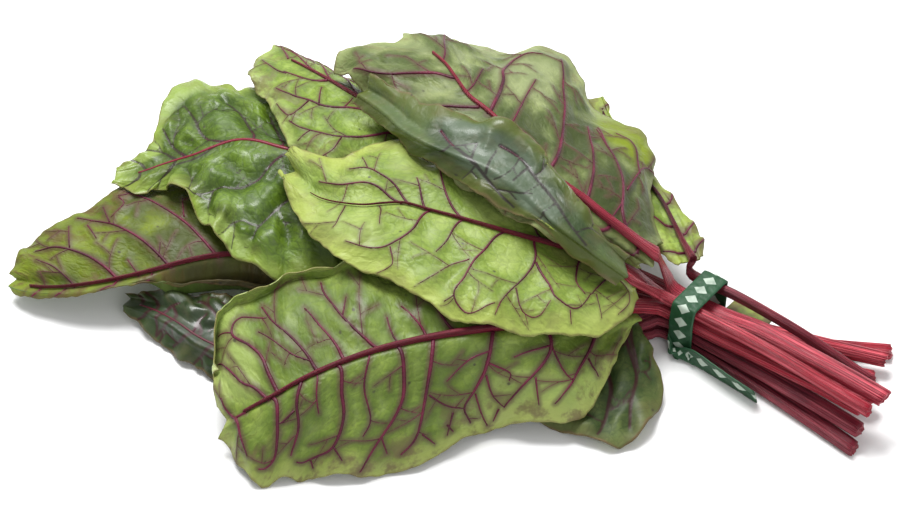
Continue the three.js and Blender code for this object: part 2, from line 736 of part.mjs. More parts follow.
function addMesh(name, geometry, color, roughness) {
  const material = new THREE.MeshStandardMaterial({ color, roughness, metalness: 0 });
  geometry.computeVertexNormals();
  const mesh = new THREE.Mesh(geometry, material);
  mesh.name = name;
  bunch.add(mesh);
}

const sections = [];
for (const leaf of leaves) {
  const stations = leafStations(leaf);
  layLeaf(leaf, stations);
  markLeaf(leaf, stations);
  sections.push(...tieSection(stations));
  addMesh(`${leaf.name}_blade`, bladeGeometry(stations), leaf.color, 0.55);
  if (!leaf.noStalk) {
    addMesh(`${leaf.name}_stalk`, stalkGeometry(leaf, stations), 0xa3173a, 0.4);
  }
}
addMesh('twist_tie', tieGeometry(hull(sections)), 0x1e4f38, 0.6);

// The origin goes to the middle of the bunch's box, on the table.
const box = new THREE.Box3().setFromObject(bunch);
const centre = box.getCenter(new THREE.Vector3());
bunch.position.set(-centre.x, -centre.y, -box.min.z);
bunch.updateMatrixWorld(true);

export default bunch;
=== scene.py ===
import math
import random

import bmesh
import bpy
import numpy as np
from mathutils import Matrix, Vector, geometry, kdtree, noise


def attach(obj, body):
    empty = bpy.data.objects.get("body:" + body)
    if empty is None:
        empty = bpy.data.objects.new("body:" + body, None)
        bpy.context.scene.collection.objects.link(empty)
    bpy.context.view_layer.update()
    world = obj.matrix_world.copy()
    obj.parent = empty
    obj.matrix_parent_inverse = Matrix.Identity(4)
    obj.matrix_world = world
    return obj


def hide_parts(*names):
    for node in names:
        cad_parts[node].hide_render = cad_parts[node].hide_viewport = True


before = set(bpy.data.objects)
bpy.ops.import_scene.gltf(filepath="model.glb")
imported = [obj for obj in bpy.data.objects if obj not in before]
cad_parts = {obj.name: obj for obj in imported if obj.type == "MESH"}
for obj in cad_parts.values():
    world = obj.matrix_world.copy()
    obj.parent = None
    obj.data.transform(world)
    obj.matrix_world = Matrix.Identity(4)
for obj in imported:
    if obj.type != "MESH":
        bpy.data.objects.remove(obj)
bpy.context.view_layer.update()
bladeRows, bladeColumns, stalkSides = 17, 10, 6    # how the part's leaves and stalks are divided
cadWeld, fineWeld = 1e-5, 2e-6                     # corners closer than this are one
floorGap = 0.0001
veinStep, veinSides = 0.0016, 6


def split(a, b, c, d):
    return [(a, b, c), (a, c, d)]


def bladePattern(rows, columns):
    # a leaf's triangles: its two skins, then the walls along its margins and its ends
    faces = []
    under = rows * columns
    last = under - columns
    for a in (i * columns + j for i in range(rows - 1) for j in range(columns - 1)):
        b = a + columns
        faces += split(a, b, b + 1, a + 1) + split(under + a, under + a + 1, under + b + 1, under + b)
    for a in range(0, last, columns):
        b = a + columns - 1
        faces += split(a, under + a, under + a + columns, a + columns)
        faces += split(b, b + columns, under + b + columns, under + b)
    for a in range(columns - 1):
        b = last + a
        faces += split(a, a + 1, under + a + 1, under + a) + split(b, under + b, under + b + 1, b + 1)
    return faces


def stalkPattern(rings, sides, otherWay):
    faces = []
    for i in range(rings - 1):
        for j in range(sides):
            a = i * sides + j
            b = i * sides + (j + 1) % sides
            if otherWay:
                faces += [(a, b, a + sides), (b, b + sides, a + sides)]
            else:
                faces += split(a, b, b + sides, a + sides)
    end = (rings - 1) * sides
    for j in range(1, sides - 1):
        faces += [(0, j + 1, j), (end, end + j, end + j + 1)]
    return faces


def thirdCorners(faces):
    third = {}
    for a, b, c in faces:
        third[a, b] = c
        third[b, c] = a
        third[c, a] = b
    return third


def followPattern(pattern, mesh, start, edge):
    # walks both triangle nets side by side from one edge, and returns None where they differ
    a, b = edge
    c = mesh[edge]
    found = {start[0]: a, start[1]: b, start[2]: c}
    used = {a, b, c}
    waiting = [(start[1], start[0]), (start[2], start[1]), (start[0], start[2])]
    while waiting:
        p, q = waiting.pop()
        r = pattern.get((p, q))
        other = mesh.get((found[p], found[q]))
        if r is None or other is None or found.get(r, other) != other:
            return None
        if r in found:
            continue
        if other in used:
            return None
        found[r] = other
        used.add(other)
        waiting += [(r, q), (p, r)]
    return found


def weldedNode(node):
    mesh = bmesh.new()
    mesh.from_mesh(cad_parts[node].data)
    bmesh.ops.remove_doubles(mesh, verts=mesh.verts[:], dist=cadWeld)
    return mesh


def cadPoints(node, pattern, count):
    # the corners of a CAD node in the pattern's order, its first corners at the stalk's end
    mesh = weldedNode(node)
    corners = np.array([v.co[:] for v in mesh.verts])
    net = thirdCorners([[v.index for v in f.verts] for f in mesh.faces])
    mesh.free()
    wanted = thirdCorners(pattern)
    best = None
    for edge in net:
        found = followPattern(wanted, net, pattern[0], edge)
        if found and len(found) == count:
            points = corners[[found[i] for i in range(count)]]
            lead = points[:6, 0].mean() - points[-6:, 0].mean()
            if best is None or lead > best[0]:
                best = (lead, points)
    if best is None:
        raise RuntimeError("the net of " + node + " doesn't follow its pattern")
    return best[1]


def cadBlade(node):
    count = bladeRows * bladeColumns
    points = cadPoints(node, bladePattern(bladeRows, bladeColumns), 2 * count)
    return ((points[:count] + points[count:]) / 2).reshape(bladeRows, bladeColumns, 3)


def cadStalk(node, faceUp):
    mesh = weldedNode(node)
    rings = len(mesh.verts) // stalkSides
    mesh.free()
    pattern = stalkPattern(rings, stalkSides, faceUp)
    return cadPoints(node, pattern, rings * stalkSides).reshape(rings, stalkSides, 3)


def splineWeights(count, steps):
    # Catmull-Rom weights that spread a row of points over finer steps
    weights = np.zeros((steps + 1, count))
    for row, place in enumerate(np.linspace(0, count - 1, steps + 1)):
        i = min(int(place), count - 2)
        f = place - i
        shares = ((-f + 2 * f**2 - f**3) / 2, (2 - 5 * f**2 + 3 * f**3) / 2,
                  (f + 4 * f**2 - 3 * f**3) / 2, (f**3 - f**2) / 2)
        for k, share in zip(range(i - 1, i + 3), shares):
            if k < 0:
                weights[row, 0] += 2 * share
                weights[row, 1] -= share
            elif k >= count:
                weights[row, -1] += 2 * share
                weights[row, -2] -= share
            else:
                weights[row, k] += share
    return weights


def smoothStep(x):
    x = np.clip(x, 0, 1)
    return x * x * (3 - 2 * x)


def span(x, first, last, ramp):
    # 1 between first and last, down to 0 over a ramp inside each end
    return smoothStep((x - first) / ramp) * smoothStep((last - x) / ramp)


def unit(vectors):
    return vectors / np.maximum(np.linalg.norm(vectors, axis=-1, keepdims=True), 1e-12)


def fieldNoise(points, size, seed):
    # soft noise at many points, about -1 to 1, with bumps of the given size in metres
    offset = Vector((seed * 7.31, seed * 3.17, seed * 5.7))
    values = [noise.noise(Vector(p) / size + offset) for p in points.reshape(-1, 3)]
    return np.array(values).reshape(points.shape[:-1])


class Skin:
    # a leaf's blade as a fine grid of points, from its base to its tip and from one margin to the other

    def __init__(self, cad, rows, columns):
        along = splineWeights(cad.shape[0], rows)
        across = splineWeights(cad.shape[1], columns)
        self.points = np.einsum("ai,ijk,bj->abk", along, cad, across)
        self.u = np.linspace(0, 1, rows + 1)
        self.v = np.linspace(-1, 1, columns + 1)
        middle = np.array([self.point(u, 0) for u in self.u])
        steps = np.linalg.norm(np.diff(middle, axis=0), axis=1)
        self.length = steps.sum()
        self.station = np.concatenate([[0], np.cumsum(steps)])
        widths = np.linalg.norm(np.diff(self.points, axis=1), axis=2)
        reach = np.concatenate([np.zeros((rows + 1, 1)), np.cumsum(widths, axis=1)], axis=1)
        centre = np.array([np.interp(0, self.v, row) for row in reach])
        self.reach = reach - centre[:, None]
        self.findNormals()

    def findNormals(self):
        self.normals = unit(np.cross(np.gradient(self.points, axis=0), np.gradient(self.points, axis=1)))

    def sample(self, grid, u, v):
        x = np.clip(u, 0, 1) * (len(self.u) - 1)
        y = (np.clip(v, -1, 1) + 1) / 2 * (len(self.v) - 1)
        i = np.minimum(x.astype(int), len(self.u) - 2)
        j = np.minimum(y.astype(int), len(self.v) - 2)
        f, g = x - i, y - j
        if grid.ndim == 3 and np.ndim(f):
            f, g = f[:, None], g[:, None]
        return (grid[i, j] * (1 - f) * (1 - g) + grid[i + 1, j] * f * (1 - g)
                + grid[i, j + 1] * (1 - f) * g + grid[i + 1, j + 1] * f * g)

    def point(self, u, v):
        return self.sample(self.points, u, v)

    def halfWidth(self, u, side):
        row = min(int(round(u * (len(self.u) - 1))), len(self.u) - 1)
        return abs(self.reach[row, -1 if side > 0 else 0])


def guideLine(row, skin):
    # a smooth line of evenly spaced points through the places that a row gives in percent
    places = np.array(row, float).reshape(-1, 2) / 100
    rough = np.array([skin.point(u, v) for u, v in places])
    length = np.linalg.norm(np.diff(rough, axis=0), axis=1).sum()
    steps = max(4, int(length / veinStep))
    return splineWeights(len(places), steps) @ places


def growVeins(leaf, skin):
    # side veins where the leaf's settings put them, more on its bare sides, then fine forks that
    # run until they meet a margin or another vein
    rng = random.Random(leaf["seed"])
    joinGap, marginStop = 0.0013, 0.97
    veins, taken = [], []

    def flat(u, v):
        return np.array([u * skin.length, v * skin.halfWidth(u, v)])

    def near(place, skip):
        spots = [line for k, line in enumerate(taken) if k != skip]
        return np.linalg.norm(np.concatenate(spots) - place, axis=1).min() if spots else 1.0

    def add(line, start, end):
        veins.append((line, start, end))
        taken.append(np.array([flat(u, v) for u, v in line]))
        return len(veins) - 1

    def run(u, v, heading, length, start, end, bend, parent):
        line = [(u, v)]
        wander = rng.uniform(0, 50)
        gone = 0.0
        while gone < length:
            heading += bend * veinStep + 0.09 * noise.noise(Vector((gone * 210, wander, 3)))
            u += veinStep * math.cos(heading) / skin.length
            v += veinStep * math.sin(heading) / max(skin.halfWidth(u, v or math.sin(heading)), 0.006)
            gone += veinStep
            if abs(v) > marginStop or not 0.01 < u < 0.99:
                break
            line.append((u, v))
            if gone > 0.004 and near(flat(u, v), parent) < joinGap:
                break
        if len(line) > 3:
            return add(line, start, end)
        return None

    def fork(index, depth):
        line = veins[index][0]
        count = len(line)
        spacing = leaf["forkSpacing"][depth]
        turn = rng.choice((-1, 1))
        for place in np.arange(rng.uniform(0.6, 1.0) * spacing, count * veinStep - 0.003, spacing):
            k = min(int(place / veinStep * rng.uniform(0.9, 1.1)), count - 2)
            if k < 2:
                continue
            a, b = flat(*line[k - 1]), flat(*line[k + 1])
            heading = math.atan2(b[1] - a[1], b[0] - a[0]) + turn * math.radians(rng.uniform(40, 65))
            turn = -turn
            radius = leaf["forkRadius"][depth]
            child = run(line[k][0], line[k][1], heading, rng.uniform(0.7, 1.3) * leaf["forkLength"][depth],
                        radius, radius * 0.35, -turn * rng.uniform(-10, 50), index)
            if child is not None and depth + 1 < len(leaf["forkSpacing"]):
                fork(child, depth + 1)

    for key, start, end in (("mains", 1.0, 0.36), ("branches", 0.5, 0.28)):
        for row in leaf.get(key, ()):
            line = [tuple(place) for place in guideLine(row, skin)]
            add(line, leaf["veinRadius"] * start, leaf["veinRadius"] * end)
    for side in leaf["autoSides"]:
        u = leaf["autoFrom"] + rng.uniform(0, 0.03)
        while u < leaf["autoTo"]:
            heading = side * math.radians(rng.uniform(52, 68) - 14 * u)
            half = skin.halfWidth(u, side)
            run(u, side * 0.02, heading, half * rng.uniform(1.0, 1.3), leaf["veinRadius"] * (1.0 - 0.4 * u),
                leaf["veinRadius"] * 0.4, -side * rng.uniform(2, 9), None)
            u += rng.uniform(0.8, 1.25) * leaf["veinSpacing"] / skin.length
    for main in range(len(veins)):
        fork(main, 0)
    return veins


def veinDistance(skin, veins):
    # how far each point of the blade is from the nearest vein's middle, and that vein's radius
    spots, radii = [], []
    for line, start, end in veins:
        places = np.array(line)
        fine = np.linspace(0, len(places) - 1, 2 * len(places))
        u = np.interp(fine, np.arange(len(places)), places[:, 0])
        v = np.interp(fine, np.arange(len(places)), places[:, 1])
        spots.append(skin.point(u, v))
        radii.append(start + (end - start) * np.linspace(0, 1, len(fine)))
    spots, radii = np.concatenate(spots), np.concatenate(radii)
    tree = kdtree.KDTree(len(spots))
    for k, spot in enumerate(spots):
        tree.insert(spot, k)
    tree.balance()
    nearest = np.array([[tree.find(point)[1:] for point in row] for row in skin.points])
    return nearest[..., 1], radii[nearest[..., 0].astype(int)]


def curl(leaf, skin, side, first, last, width, radius):
    # turns a strip along one margin up and over, its fold where the margin was
    rows, columns = skin.points.shape[:2]
    foldedBack, ramp, drawnIn = 3.3, 0.09, 0.36    # the first is in radians, a little more than flat
    for i in range(rows):
        u = skin.u[i]
        opening = float(span(u, first, last, ramp))
        if opening <= 0.02:
            continue
        reach = skin.reach[i] * side
        order = np.argsort(reach)
        whole = reach.max()
        strip = width * opening * (1 + 0.6 * noise.noise(Vector((u * 9, leaf["seed"], 1))))
        start, inner = 0.1 * whole, (1 - drawnIn * opening) * whole
        drawn = np.where(reach > start, start + (reach - start) * (whole - start) / (inner - start), reach)
        old = skin.points[i].copy()
        for k in range(3):
            skin.points[i, :, k] = np.interp(drawn, reach[order], old[order, k])
        fold = old[-1 if side > 0 else 0]
        outward = unit(fold - skin.points[i, int(np.abs(whole * 0.8 - reach).argmin())])
        up = np.array([0, 0, 1.0])
        bend = radius * (0.6 + 0.4 * opening)
        for k in range(columns):
            along = strip * (reach[k] - inner) / (whole - inner)
            if along <= 0:
                continue
            turn = min(along / bend, foldedBack)
            place = fold + outward * bend * math.sin(turn) + up * bend * (1 - math.cos(turn))
            past = along - turn * bend
            if past > 0:
                tilt = 0.14 + 0.4 * noise.noise(Vector((u * 22, past * 60, leaf["seed"])))
                place = place + (outward * math.cos(foldedBack) + up * tilt) * past
            skin.points[i, k] = place


def shapeBlade(leaf, skin, veins):
    # the fine form: blisters between the veins, a waved margin, ridges along the veins, curled strips
    rows, columns = skin.points.shape[:2]
    out = -1 if leaf["faceUp"] else 1
    margin = np.abs(skin.v)[None, :]
    ends = smoothStep(np.minimum(skin.u, 1 - skin.u) * 12)[:, None]
    free = smoothStep((np.abs(skin.reach) - leaf["ribHalf"] * (1.1 - skin.u)[:, None]) / 0.008)
    gap, width = veinDistance(skin, veins)
    seed = leaf["seed"]
    station = np.repeat(skin.station[:, None], columns, 1)
    level = np.zeros((rows, columns))
    flat = np.stack([station, skin.reach, level], axis=-1)
    broad = fieldNoise(flat, 0.016, seed)
    small = fieldNoise(flat, 0.0065, seed + 3)
    pillow = smoothStep(gap / leaf["pillow"])
    lift = -out * leaf["blister"] * (pillow - 0.6) * (0.7 + 0.9 * broad)
    lift += leaf["crinkle"] * small * (0.3 + 0.7 * pillow)
    edge = np.stack([station, level + np.sign(skin.v) * 0.3, level], axis=-1)
    ruffle = fieldNoise(edge, leaf["ruffleSize"], seed + 9)
    ruffle = ruffle + 0.45 * fieldNoise(edge, leaf["ruffleSize"] * 0.42, seed + 5)
    lift += leaf["ruffle"] * ruffle * smoothStep((margin - 0.45) / 0.55)
    lift = lift * free
    lift += out * 0.0004 * np.exp(-(gap / (width * 1.4 + 0.0004)) ** 2) * free
    rim = fieldNoise(edge, 0.011, seed + 13) + 0.5 * fieldNoise(edge, 0.0035, seed + 17)
    sideways = unit(np.gradient(skin.points, axis=1)) * np.sign(skin.v)[None, :, None]
    shift = leaf["notch"] * rim * smoothStep((margin - 0.6) / 0.4) * ends
    skin.points = skin.points + skin.normals * lift[..., None] + sideways * shift[..., None]
    for side, first, last, depth in leaf.get("hollows", ()):
        along = span(skin.u, first, last, 0.08)
        across = np.clip(skin.v * side, 0, 1)
        dip = smoothStep(across * 5) * smoothStep((0.92 - across) * 3.2)
        skin.points[..., 2] -= depth * along[:, None] * dip
    for side, first, last, strip, radius in leaf.get("curls", ()):
        curl(leaf, skin, side, first, last, strip, radius)
    skin.points[..., 2] = np.maximum(skin.points[..., 2], leaf["thickness"] / 2 + floorGap)
    skin.findNormals()
    skin.gap = np.maximum(gap - width, 0)
    skin.toMargin = np.minimum(np.abs(skin.reach - skin.reach[:, :1]), np.abs(skin.reach[:, -1:] - skin.reach))
    ending = (skin.length - skin.station)[:, None]
    skin.toMargin = np.minimum(skin.toMargin, ending + 0.002)
    skin.flat = flat[..., :2]

    def spot(place, reach):
        u, v, long, wide = np.array(place) / 100
        spread = ((skin.u[:, None] - u) / long) ** 2 + ((skin.v - v) / wide) ** 2
        return smoothStep(reach[0] - spread + reach[1] * broad)

    skin.patch, skin.shade = level.copy(), level.copy()
    for place in leaf.get("patches", ()):
        skin.patch = np.maximum(skin.patch, spot(place, (1.25, 0.35)))
    # shades are painted shade where their amount is above 0 and painted light where it is below 0
    for *place, amount in leaf.get("shades", ()):
        skin.shade += amount / 100 * spot(place, (1.3, 0.4))


def addObject(name, data, materials=()):
    made = bpy.data.objects.new(name, data)
    bpy.context.scene.collection.objects.link(made)
    for material in materials:
        data.materials.append(material)
    return made


def finishedMesh(mesh, name):
    data = bpy.data.meshes.new(name)
    mesh.to_mesh(data)
    mesh.free()
    return data


def closeUp(mesh):
    bmesh.ops.remove_doubles(mesh, verts=mesh.verts[:], dist=fineWeld)
    bmesh.ops.recalc_face_normals(mesh, faces=mesh.faces[:])


def addThickness(piece, thickness):
    shell = piece.modifiers.new("thickness", "SOLIDIFY")
    shell.thickness = thickness
    shell.offset = 0
    return shell


def bladePiece(leaf, skin, materials):
    rows, columns = skin.points.shape[:2]
    grid = bmesh.new()
    bmesh.ops.create_grid(grid, x_segments=rows - 1, y_segments=columns - 1, size=1.0)
    mesh = finishedMesh(grid, leaf["name"] + "_blade_fine")
    places = np.empty(len(mesh.vertices) * 3)
    mesh.vertices.foreach_get("co", places)
    places = places.reshape(-1, 3)
    i = np.rint((places[:, 0] + 1) / 2 * (rows - 1)).astype(int)
    j = np.rint((places[:, 1] + 1) / 2 * (columns - 1)).astype(int)
    mesh.vertices.foreach_set("co", skin.points[i, j].ravel())
    for name in ("gap", "toMargin", "patch", "shade"):
        values = mesh.attributes.new(name, "FLOAT", "POINT")
        values.data.foreach_set("value", getattr(skin, name)[i, j].astype(np.float32))
    corners = np.empty(len(mesh.loops), int)
    mesh.loops.foreach_get("vertex_index", corners)
    uvs = mesh.uv_layers.new(name="leafPlace")
    uvs.data.foreach_set("uv", skin.flat[i, j][corners].astype(np.float32).ravel())
    mesh.shade_smooth()
    mesh.update()
    piece = addObject(leaf["name"] + "_blade_fine", mesh, materials)
    addThickness(piece, leaf["thickness"]).material_offset = 1
    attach(piece, "root")
    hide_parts(leaf["name"] + "_blade")


def layGrid(mesh, rings, sides, put, slot=0, length=None):
    # lays down a grid of squares whose corners put() moves, with a UV map if it is given a length
    layer = None
    if length is not None:
        layer = mesh.loops.layers.uv.get("UVMap") or mesh.loops.layers.uv.new("UVMap")
    made = bmesh.ops.create_grid(mesh, x_segments=rings - 1, y_segments=sides, size=1.0, calc_uvs=bool(layer))
    faces = set()
    for vert in made["verts"]:
        ring = round((vert.co.x + 1) / 2 * (rings - 1))
        step = round((vert.co.y + 1) / 2 * sides)
        put(vert, ring, step)
        faces.update(vert.link_faces)
    for face in faces:
        face.smooth = True
        face.material_index = slot
        for loop in face.loops if layer else ():
            u, v = loop[layer].uv
            loop[layer].uv = (u * length, v)


def tube(mesh, centres, radii, sideways, outward, slot):
    # a closed tube of the given rings, drawn in to a point at both ends
    def put(vert, i, j):
        turn = -j / veinSides * 2 * math.pi
        vert.co = centres[i] + (sideways[i] * math.cos(turn) + outward[i] * math.sin(turn)) * radii[i]

    layGrid(mesh, len(centres), veinSides, put, slot)


def veinTubes(mesh, leaf, skin, veins, slot, out):
    for line, start, end in veins:
        places = np.array(line)
        steps = max(3, len(places) - 1)
        places = splineWeights(len(places), steps) @ places
        radii = start + (end - start) * np.linspace(0, 1, steps + 1) ** 0.8
        points = skin.sample(skin.points, places[:, 0], places[:, 1])
        normals = unit(skin.sample(skin.normals, places[:, 0], places[:, 1]))
        sideways = unit(np.cross(normals, unit(np.gradient(points, axis=0))))
        centres = points + normals * (out * (leaf["thickness"] / 2 + radii * leaf["veinRaise"]))[:, None]
        radii = np.concatenate([[1e-6], radii, [1e-6]])
        centres, sideways, normals = (
            [Vector(row) for row in np.concatenate([rows[:1], rows, rows[-1:]])]
            for rows in (centres, sideways, normals))
        tube(mesh, centres, radii, sideways, [normal * 0.85 for normal in normals], slot)


def stalkTube(mesh, leaf, skin, rings):
    # the stalk and midrib: a ribbed keel on one side, shallow and grooved on the other
    count = len(rings)
    ringStep, fineness, rounded, centre, cutRings = 0.0026, 40, 0.72, 0.48, 9
    flatMiddle = (rings[:, 0] + rings[:, 1]) / 2
    topMiddle = (rings[:, 3] + rings[:, 4]) / 2
    half = (rings[:, 2] - rings[:, 5]) / 2
    lengths = np.linalg.norm(np.diff(flatMiddle, axis=0), axis=1)
    steps = max(20, int(lengths.sum() / ringStep))
    station = np.concatenate([[0], np.cumsum(lengths)])
    wanted = np.linspace(0, station[-1], steps + 1)
    bladeFrom = station[-1] - skin.length * 0.97
    fine = splineWeights(count, (count - 1) * fineness)
    weights = fine[np.rint(np.interp(wanted, station, np.arange(count)) * fineness).astype(int)]
    low, top, wide = weights @ flatMiddle, weights @ topMiddle, weights @ half
    up = top - low
    reach = np.linalg.norm(up, axis=1)
    sides = leaf["stalkSides"]
    cut = mesh.verts.layers.float.new("cutEnd")
    blade = mesh.verts.layers.float.new("onBlade")
    # the rings, each a row of the fine stalk and how much of its breadth: the first few close the cut end
    order = [(0, 0.0), (0, 0.55), (0, 0.86), (0, 0.98)]
    order += [(k, 1.0) for k in range(1, steps + 1)] + [(steps, 0.0)]
    ahead = unit(np.gradient(low, axis=0))
    rng = random.Random(leaf["seed"] + 40)
    ribPhase, skew, drop = rng.uniform(0, 6), rng.uniform(-0.5, 0.5), rng.uniform(0.4, 1.0)
    onBlade = smoothStep((wanted - bladeFrom) / 0.05)
    narrow = 1 - (1 - leaf["ribScale"]) * onBlade
    taper = 1 - leaf["ribTaper"] * np.clip((wanted - bladeFrom) / skin.length, 0, 1) ** 0.7

    def put(vert, i, j):
        row, scale = order[i]
        turn = -(j % sides) / sides * 2 * math.pi
        c, sn = math.cos(turn), math.sin(turn)
        x = math.copysign(abs(c) ** rounded, c)
        y = centre + (1 - centre) * math.copysign(abs(sn) ** rounded, sn)
        # ribs of uneven width, shallower towards the leaf's tip
        wave = turn * leaf["ribs"] + ribPhase + 1.7 * math.sin(turn * 3 + ribPhase) + wanted[row] * 5
        grow = min(1.0, float(reach[row]) / 0.0045)
        depth = 0.11 * grow * (0.5 - 0.5 * math.cos(wave)) ** 2
        groove = 0.26 * grow * max(0, 1 - abs(x) / 0.62) * (1 - onBlade[row]) if sn < 0 else 0
        x *= 1 - depth
        y = centre + (y - centre) * (1 - depth) + groove
        if sn < 0:
            y -= onBlade[row] * leaf["sink"] / max(float(reach[row]), 0.001) * min(1, -sn * 1.6)
        x, y = x * scale, centre + (y - centre) * scale
        place = low[row] + (wide[row] * x * narrow[row] + up[row] * y) * taper[row]
        ragged = 0.0016 * noise.noise(Vector((x * 3, y * 3, leaf["seed"] * 3.3)))
        if i < cutRings:
            back = skew * 0.004 * x + drop * 0.002 * y + ragged
            place = place - ahead[row] * (back * (cutRings - i) / cutRings)
        if i < 4:
            vert[cut] = 1.0 if scale < 0.9 else 0.4
        onward = float(wanted[row] - bladeFrom) / skin.length
        vert[blade] = float(onBlade[row]) * min(1.0, 0.35 + 1.6 * onward)
        vert.co = place

    layGrid(mesh, len(order), sides, put, 0, station[-1])


def stalkPiece(leaf, skin, veins, rings, materials):
    mesh = bmesh.new()
    stalkTube(mesh, leaf, skin, rings)
    under = -1 if leaf["faceUp"] else 1
    veinTubes(mesh, leaf, skin, veins, 1, under)
    if "topRib" in leaf:
        start, end, wide, thin = leaf["topRib"]
        line = [(u, 0.0) for u in np.linspace(start, end, 60)]
        before = len(mesh.verts)
        veinTubes(mesh, leaf, skin, [(line, wide, thin)], 0, -under)
        mesh.verts.ensure_lookup_table()
        onBlade = mesh.verts.layers.float["onBlade"]
        for vert in mesh.verts[before:]:
            vert[onBlade] = 0.9
    closeUp(mesh)
    name = leaf["name"] + "_stalk_fine"
    piece = addObject(name, finishedMesh(mesh, name), materials)
    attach(piece, "root")
    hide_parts(leaf["name"] + "_stalk")


def operator(operation, swapped=False):
    def work(self, other):
        return self.maths(operation, *((other, self) if swapped else (self, other)))
    return work


class Value:
    # a socket of a material that sums and products can be written with

    def __init__(self, shader, socket):
        self.shader = shader
        self.socket = socket

    def maths(self, operation, first, second):
        return self.shader.node("Math", {0: first, 1: second}, operation=operation)

    __add__, __radd__ = operator("ADD"), operator("ADD", True)
    __sub__, __rsub__ = operator("SUBTRACT"), operator("SUBTRACT", True)
    __mul__, __rmul__ = operator("MULTIPLY"), operator("MULTIPLY", True)
    __truediv__ = operator("DIVIDE")

    def between(self, low, high):
        limits = {"Value": self, "From Min": low, "From Max": high}
        return self.shader.node("MapRange", limits, interpolation_type="SMOOTHSTEP")


class Shader:
    # a material with its own node tree; colours are red, green and blue in thousandths

    def __init__(self, name):
        self.material = bpy.data.materials.new(name)
        self.material.use_nodes = True
        self.tree = self.material.node_tree
        self.tree.nodes.clear()

    def socket(self, sockets, key):
        if isinstance(key, int):
            return sockets[key]
        return next(s for s in sockets if key in (s.identifier, s.name))

    def node(self, kind, inputs=(), output=0, **settings):
        made = self.tree.nodes.new("ShaderNode" + kind)
        for key, value in settings.items():
            setattr(made, key, value)
        for key, value in dict(inputs).items():
            socket = self.socket(made.inputs, key)
            if isinstance(value, Value):
                self.tree.links.new(value.socket, socket)
            else:
                socket.default_value = (*(part / 1000 for part in value), 1) if socket.type == "RGBA" else value
        return Value(self, self.socket(made.outputs, output))

    def place(self):
        return self.node("TexCoord", output="Object")

    def leafPlace(self, name):
        return self.node("UVMap", uv_map=name)

    def attribute(self, name):
        return self.node("Attribute", output="Fac", attribute_name=name)

    def stretch(self, vector, scale):
        return self.node("Mapping", {"Vector": vector, "Scale": scale})

    def warp(self, vector, amount, size):
        # the place moved about a little, so that a pattern's lines wander
        turned = self.node("TexNoise", {"Vector": vector, "Scale": 1 / size, "Detail": 1.0}, "Color")
        shifted = self.node("VectorMath", {0: turned, 1: (0.5, 0.5, 0.5)}, operation="SUBTRACT")
        return self.node("VectorMath", {0: shifted, 1: (amount, amount, amount), 2: vector},
                         operation="MULTIPLY_ADD")

    def noise(self, vector, size, detail=2.0, roughness=0.5):
        return self.node("TexNoise", {"Vector": vector, "Scale": 1 / size, "Detail": detail,
                                      "Roughness": roughness})

    def cells(self, vector, size, feature="DISTANCE_TO_EDGE"):
        return self.node("TexVoronoi", {"Vector": vector, "Scale": 1 / size}, feature=feature)

    def mix(self, mask, first, second):
        return self.node("Mix", {"Factor_Float": mask, "A_Color": first, "B_Color": second},
                         "Result_Color", data_type="RGBA")

    def paint(self, colour, *coats):
        # each coat is where it goes and its colour
        for mask, tint in coats:
            colour = self.mix(mask, colour, tint)
        return colour

    def bump(self, height, distance):
        return self.node("Bump", {"Height": height, "Distance": distance})

    def absolute(self, value):
        return value.maths("ABSOLUTE", value, 0)

    def skin(self, values):
        return self.node("BsdfPrincipled", values)

    def finish(self, surface):
        out = self.tree.nodes.new("ShaderNodeOutputMaterial")
        self.tree.links.new(surface.socket, out.inputs["Surface"])
        return self.material


